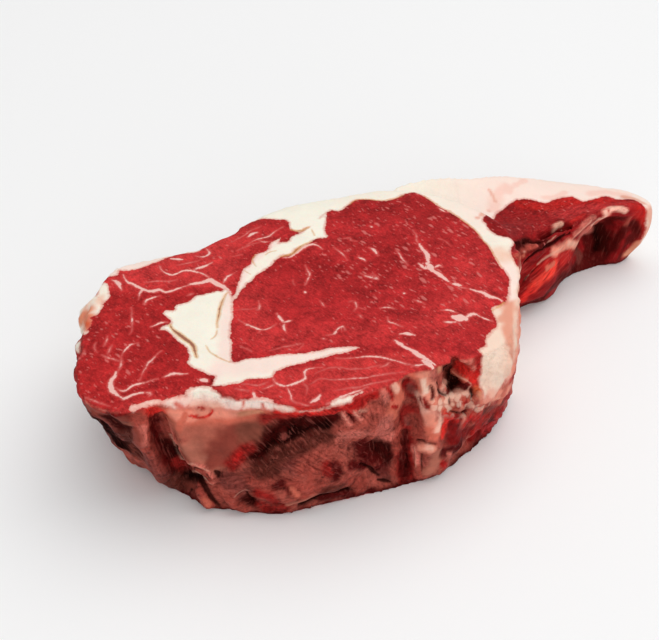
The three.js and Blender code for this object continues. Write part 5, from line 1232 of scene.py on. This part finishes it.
def raw_meat():
    """Lean, fat, marbling and cracks, moist all over."""
    recipe = Recipe("raw_meat")
    place = recipe.node("ShaderNodeTexCoord", output="Object")

    mottle = recipe.noise(place, 7.0, 3.0)
    grain = recipe.noise(place, 1.5, 3.0, 0.65)
    speck = recipe.noise(place, 0.45, 2.0, 0.6)
    swirl = recipe.noise(place, 2.6, 4.0, 0.6, 1.0)
    fibre = recipe.noise(recipe.kept("fibre_place", "Vector"), 0.7, 3.0, 0.6)
    hair = recipe.noise(recipe.kept("fibre_place", "Vector"), 0.9, 1.0)
    ragged = recipe.noise(place, 0.9, 2.0) + 0.8 * recipe.noise(place, 2.4, 1.0) - 0.9
    fold = recipe.noise(place, 4.0, 3.0, 0.55, 1.5) - 0.5
    fold = 1 - recipe.step(recipe.most(fold, 0 - fold), 0.0, 0.035)
    hairy = recipe.kept("hairy")

    cut_face = recipe.kept("cut_face")
    on_face = recipe.step(cut_face, 0.3, 0.7)
    side = 1 - on_face
    coarse = recipe.kept("coarse")

    # The lean: its paint, lighter and darker by its grain, with pale pink specks of painted sheen on the cut.
    tone = (1 + 1.1 * (mottle - 0.5)
            + on_face * (1.2 * (fibre - 0.5) + 1.3 * (swirl - 0.5) + 0.6 * (speck - 0.5)))
    # On coarse sides the thin folds are painted darker as well, as shade in them.
    tone = (tone + coarse * (1.1 * (swirl - 0.5) + 0.8 * (grain - 0.5) - 0.3 * fold)
            + hairy * 0.8 * (hair - 0.5))
    lean = recipe.mix(1.0, recipe.kept("lean_colour", "Color"), recipe.grey(tone), "MULTIPLY")
    sheen_specks = recipe.step(speck, 0.57, 0.75) * recipe.step(fibre, 0.42, 0.6) * on_face
    lean = recipe.mix(sheen_specks * 0.3, lean, linear("pink"))
    # Painted shade in the creases between the fibres.
    crease_shade = recipe.step(0.5 - hair, 0.05, 0.2) * hairy
    lean = recipe.mix(crease_shade * 0.4, lean, linear("maroon"))
    strand = recipe.step(hair - 0.5, 0.02, 0.25) * hairy
    lean = recipe.mix(strand * 0.24, lean, linear("side"))
    # Pale sinews, some of them painted glints along edges.
    sinew_and_glint = recipe.along_lines("sinew_and_glint", 0.4 * ragged, 0.35) * side
    lean = recipe.mix(sinew_and_glint * 0.55, lean, linear("pale"))
    crumbs = recipe.node("ShaderNodeTexVoronoi", {},
                         {"Vector": place, "Scale": 1 / (CRUMB_SIZE * MM)}, "Distance")
    luck = recipe.node("ShaderNodeSeparateColor", {}, {"Color": crumbs.other("Color")}, "Red")
    crumb = recipe.mix(recipe.step(luck, 0.3, 0.5), linear("salmon"), linear("peach"))
    crumb = recipe.mix(recipe.step(crumbs, 0.4, 0.75), crumb, linear("blood"))
    crumbly = recipe.kept("crumbly")
    lean = recipe.mix(crumbly * 0.45, lean, crumb)
    # Gaps painted black, as shade in them.
    gap = recipe.along_lines("gap", 0.3 * ragged, 0.4) * side
    lean = recipe.mix(gap * 0.9, lean, linear("black"))

    # The fat: its paint, pinker beside the lean.
    fat_depth = recipe.kept("fat_depth") + 1.1 * ragged
    fat_tone = 0.94 + 0.08 * mottle + 0.06 * grain
    fat = recipe.mix(1.0, recipe.kept("fat_colour", "Color"), recipe.grey(fat_tone), "MULTIPLY")
    blush = recipe.mix(1 - recipe.step(fat_depth, 0.0, 1.3), fat, linear("pink"))
    fat = recipe.mix(0.6, fat, blush)
    softness = 0.2 + 0.5 * side
    is_fat = recipe.step(fat_depth, -1 * softness, softness)

    # Threads and flecks of fat in the lean, thin ones fainter, in a livelier red.
    face_only = recipe.step(cut_face, 0.2, 0.6)
    halo = recipe.along_lines("thread", 0.5 * ragged - 0.8, 0.9) * face_only
    colour = recipe.mix(halo * 0.45, lean, linear("lively"))
    is_thread = recipe.along_lines("thread", 0.9 * ragged + 0.05, 0.5, (0.6, 0.45)) * face_only
    unsteady = recipe.node("ShaderNodeVectorMath", {"operation": "MULTIPLY_ADD"}, {
        0: recipe.noise(place, 1.6).other("Color"), 1: (0.0012, 0.0012, 0), 2: place})
    marbled = recipe.kept("marbled")
    for turn, size, much in ((-50, 1.7, 0.5), (-40, 2.6, 0.6), (-55, 3.6, 0.6)):
        fleck = recipe.flecks(unsteady, turn, size, marbled) * on_face
        is_thread = recipe.most(is_thread, much * fleck)
    thread = recipe.mix(recipe.step(is_thread, 0.5, 1.0), linear("thread"), linear("sheet"))
    colour = recipe.mix(is_thread, colour, thread)
    colour = recipe.mix(is_fat, colour, fat)

    # Cracks, brown at their edges: painted shade in the cracks and in the lines along steps.
    in_crack = recipe.along_lines("crack", 0.4 * ragged, 0.45) * on_face
    colour = recipe.mix(in_crack * 0.75, colour, linear("ochre"))
    deep_in_crack = recipe.along_lines("crack", 0.5 * ragged + 0.5, 0.25) * on_face
    colour = recipe.mix(deep_in_crack * 0.8, colour, linear("brown"))

    height = (0.2 * grain + 0.15 * speck + 0.25 * is_fat + 0.15 * is_thread - 0.5 * in_crack
              + coarse * (1.2 * swirl + 0.4 * grain - 0.4 * fold) + hairy * hair + side * (0.6 * sinew_and_glint - gap)
              - 1.5 * crumbly * crumbs)
    bump = recipe.node("ShaderNodeBump", {}, {"Strength": 0.6, "Distance": 0.0006, "Height": height})
    redness = recipe.node("ShaderNodeSeparateColor", {}, {"Color": colour}, "Red")
    in_the_dark = 1 - recipe.step(redness, 0.02, 0.12)
    wet = 0.12 * side * recipe.step(grain, 0.6, 0.68) * (1 - in_the_dark)
    shader = recipe.node("ShaderNodeBsdfPrincipled", {}, {
        "Base Color": colour,
        "Roughness": 0.44 + 0.18 * grain - 0.08 * is_fat + 0.45 * in_the_dark,
        "Normal": bump,
        "Subsurface Weight": 0.12,
        "Subsurface Radius": (1.0, 0.35, 0.25),
        "Subsurface Scale": 0.0012,
        "Coat Weight": wet,
        "Coat Roughness": 0.18,
        "Specular IOR Level": 0.05,
        "Specular Tint": (1.0, 0.5, 0.45, 1.0),
    })
    recipe.node("ShaderNodeOutputMaterial", {}, {"Surface": shader})
    return recipe.material


steak.data.materials.clear()
steak.data.materials.append(raw_meat())
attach(steak, "root")
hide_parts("steak")


# --------------------------------------------------------------------------------------------------
TABLE_SIZE = 6
TABLE_HEIGHT = -0.0002


def table_top():
    """A plain pale table, just below the steak."""
    bpy.ops.mesh.primitive_plane_add(size=TABLE_SIZE, location=(0, 0, TABLE_HEIGHT))
    table = bpy.context.active_object
    table.name = "table"
    recipe = Recipe("pale_table")
    shader = recipe.node("ShaderNodeBsdfPrincipled", {}, {
        "Base Color": (0.93, 0.93, 0.93, 1), "Roughness": 0.7, "Specular IOR Level": 0.2})
    recipe.node("ShaderNodeOutputMaterial", {}, {"Surface": shader})
    table.data.materials.append(recipe.material)


def aimed(obj, target):
    """Turns a camera or a light towards a point."""
    obj.rotation_euler = (Vector(target) - obj.location).to_track_quat("-Z", "Y").to_euler()


def soft_light(name, place, size, power, target=(-0.02, 0, 0.02)):
    """A square lamp, aimed at the steak."""
    bpy.ops.object.light_add(type="AREA", location=place)
    lamp = bpy.context.active_object
    lamp.name = name
    lamp.data.size = size
    lamp.data.energy = power
    aimed(lamp, target)


table_top()
soft_light("window_light", place=(0.5, 0.4, 1.9), size=2.6, power=27.5)
soft_light("front_fill", place=(0.3, -1.6, 0.95), size=1.6, power=11.5)

WORLD_LIGHT = 0.45

world = bpy.data.worlds.new("studio")
world.use_nodes = True
world.node_tree.nodes["Background"].inputs["Color"].default_value = (1, 1, 1, 1)
world.node_tree.nodes["Background"].inputs["Strength"].default_value = WORLD_LIGHT
bpy.context.scene.world = world
bpy.context.scene.view_settings.view_transform = "Standard"

CAMERA_HEIGHT_ANGLE = math.radians(40)
CAMERA_DISTANCE = 0.540
CAMERA_TARGET = Vector((-0.02141, -0.00484, 0.025))
CAMERA_LENS = 80
CAMERA_SENSOR = 36

bpy.ops.object.camera_add()
camera = bpy.context.active_object
camera.name = "camera"
camera.data.lens = CAMERA_LENS
camera.data.sensor_width = CAMERA_SENSOR
camera.data.clip_start = 0.01
camera.location = CAMERA_TARGET + CAMERA_DISTANCE * Vector(
    (0, -math.cos(CAMERA_HEIGHT_ANGLE), math.sin(CAMERA_HEIGHT_ANGLE)))
aimed(camera, CAMERA_TARGET)
bpy.context.scene.camera = camera
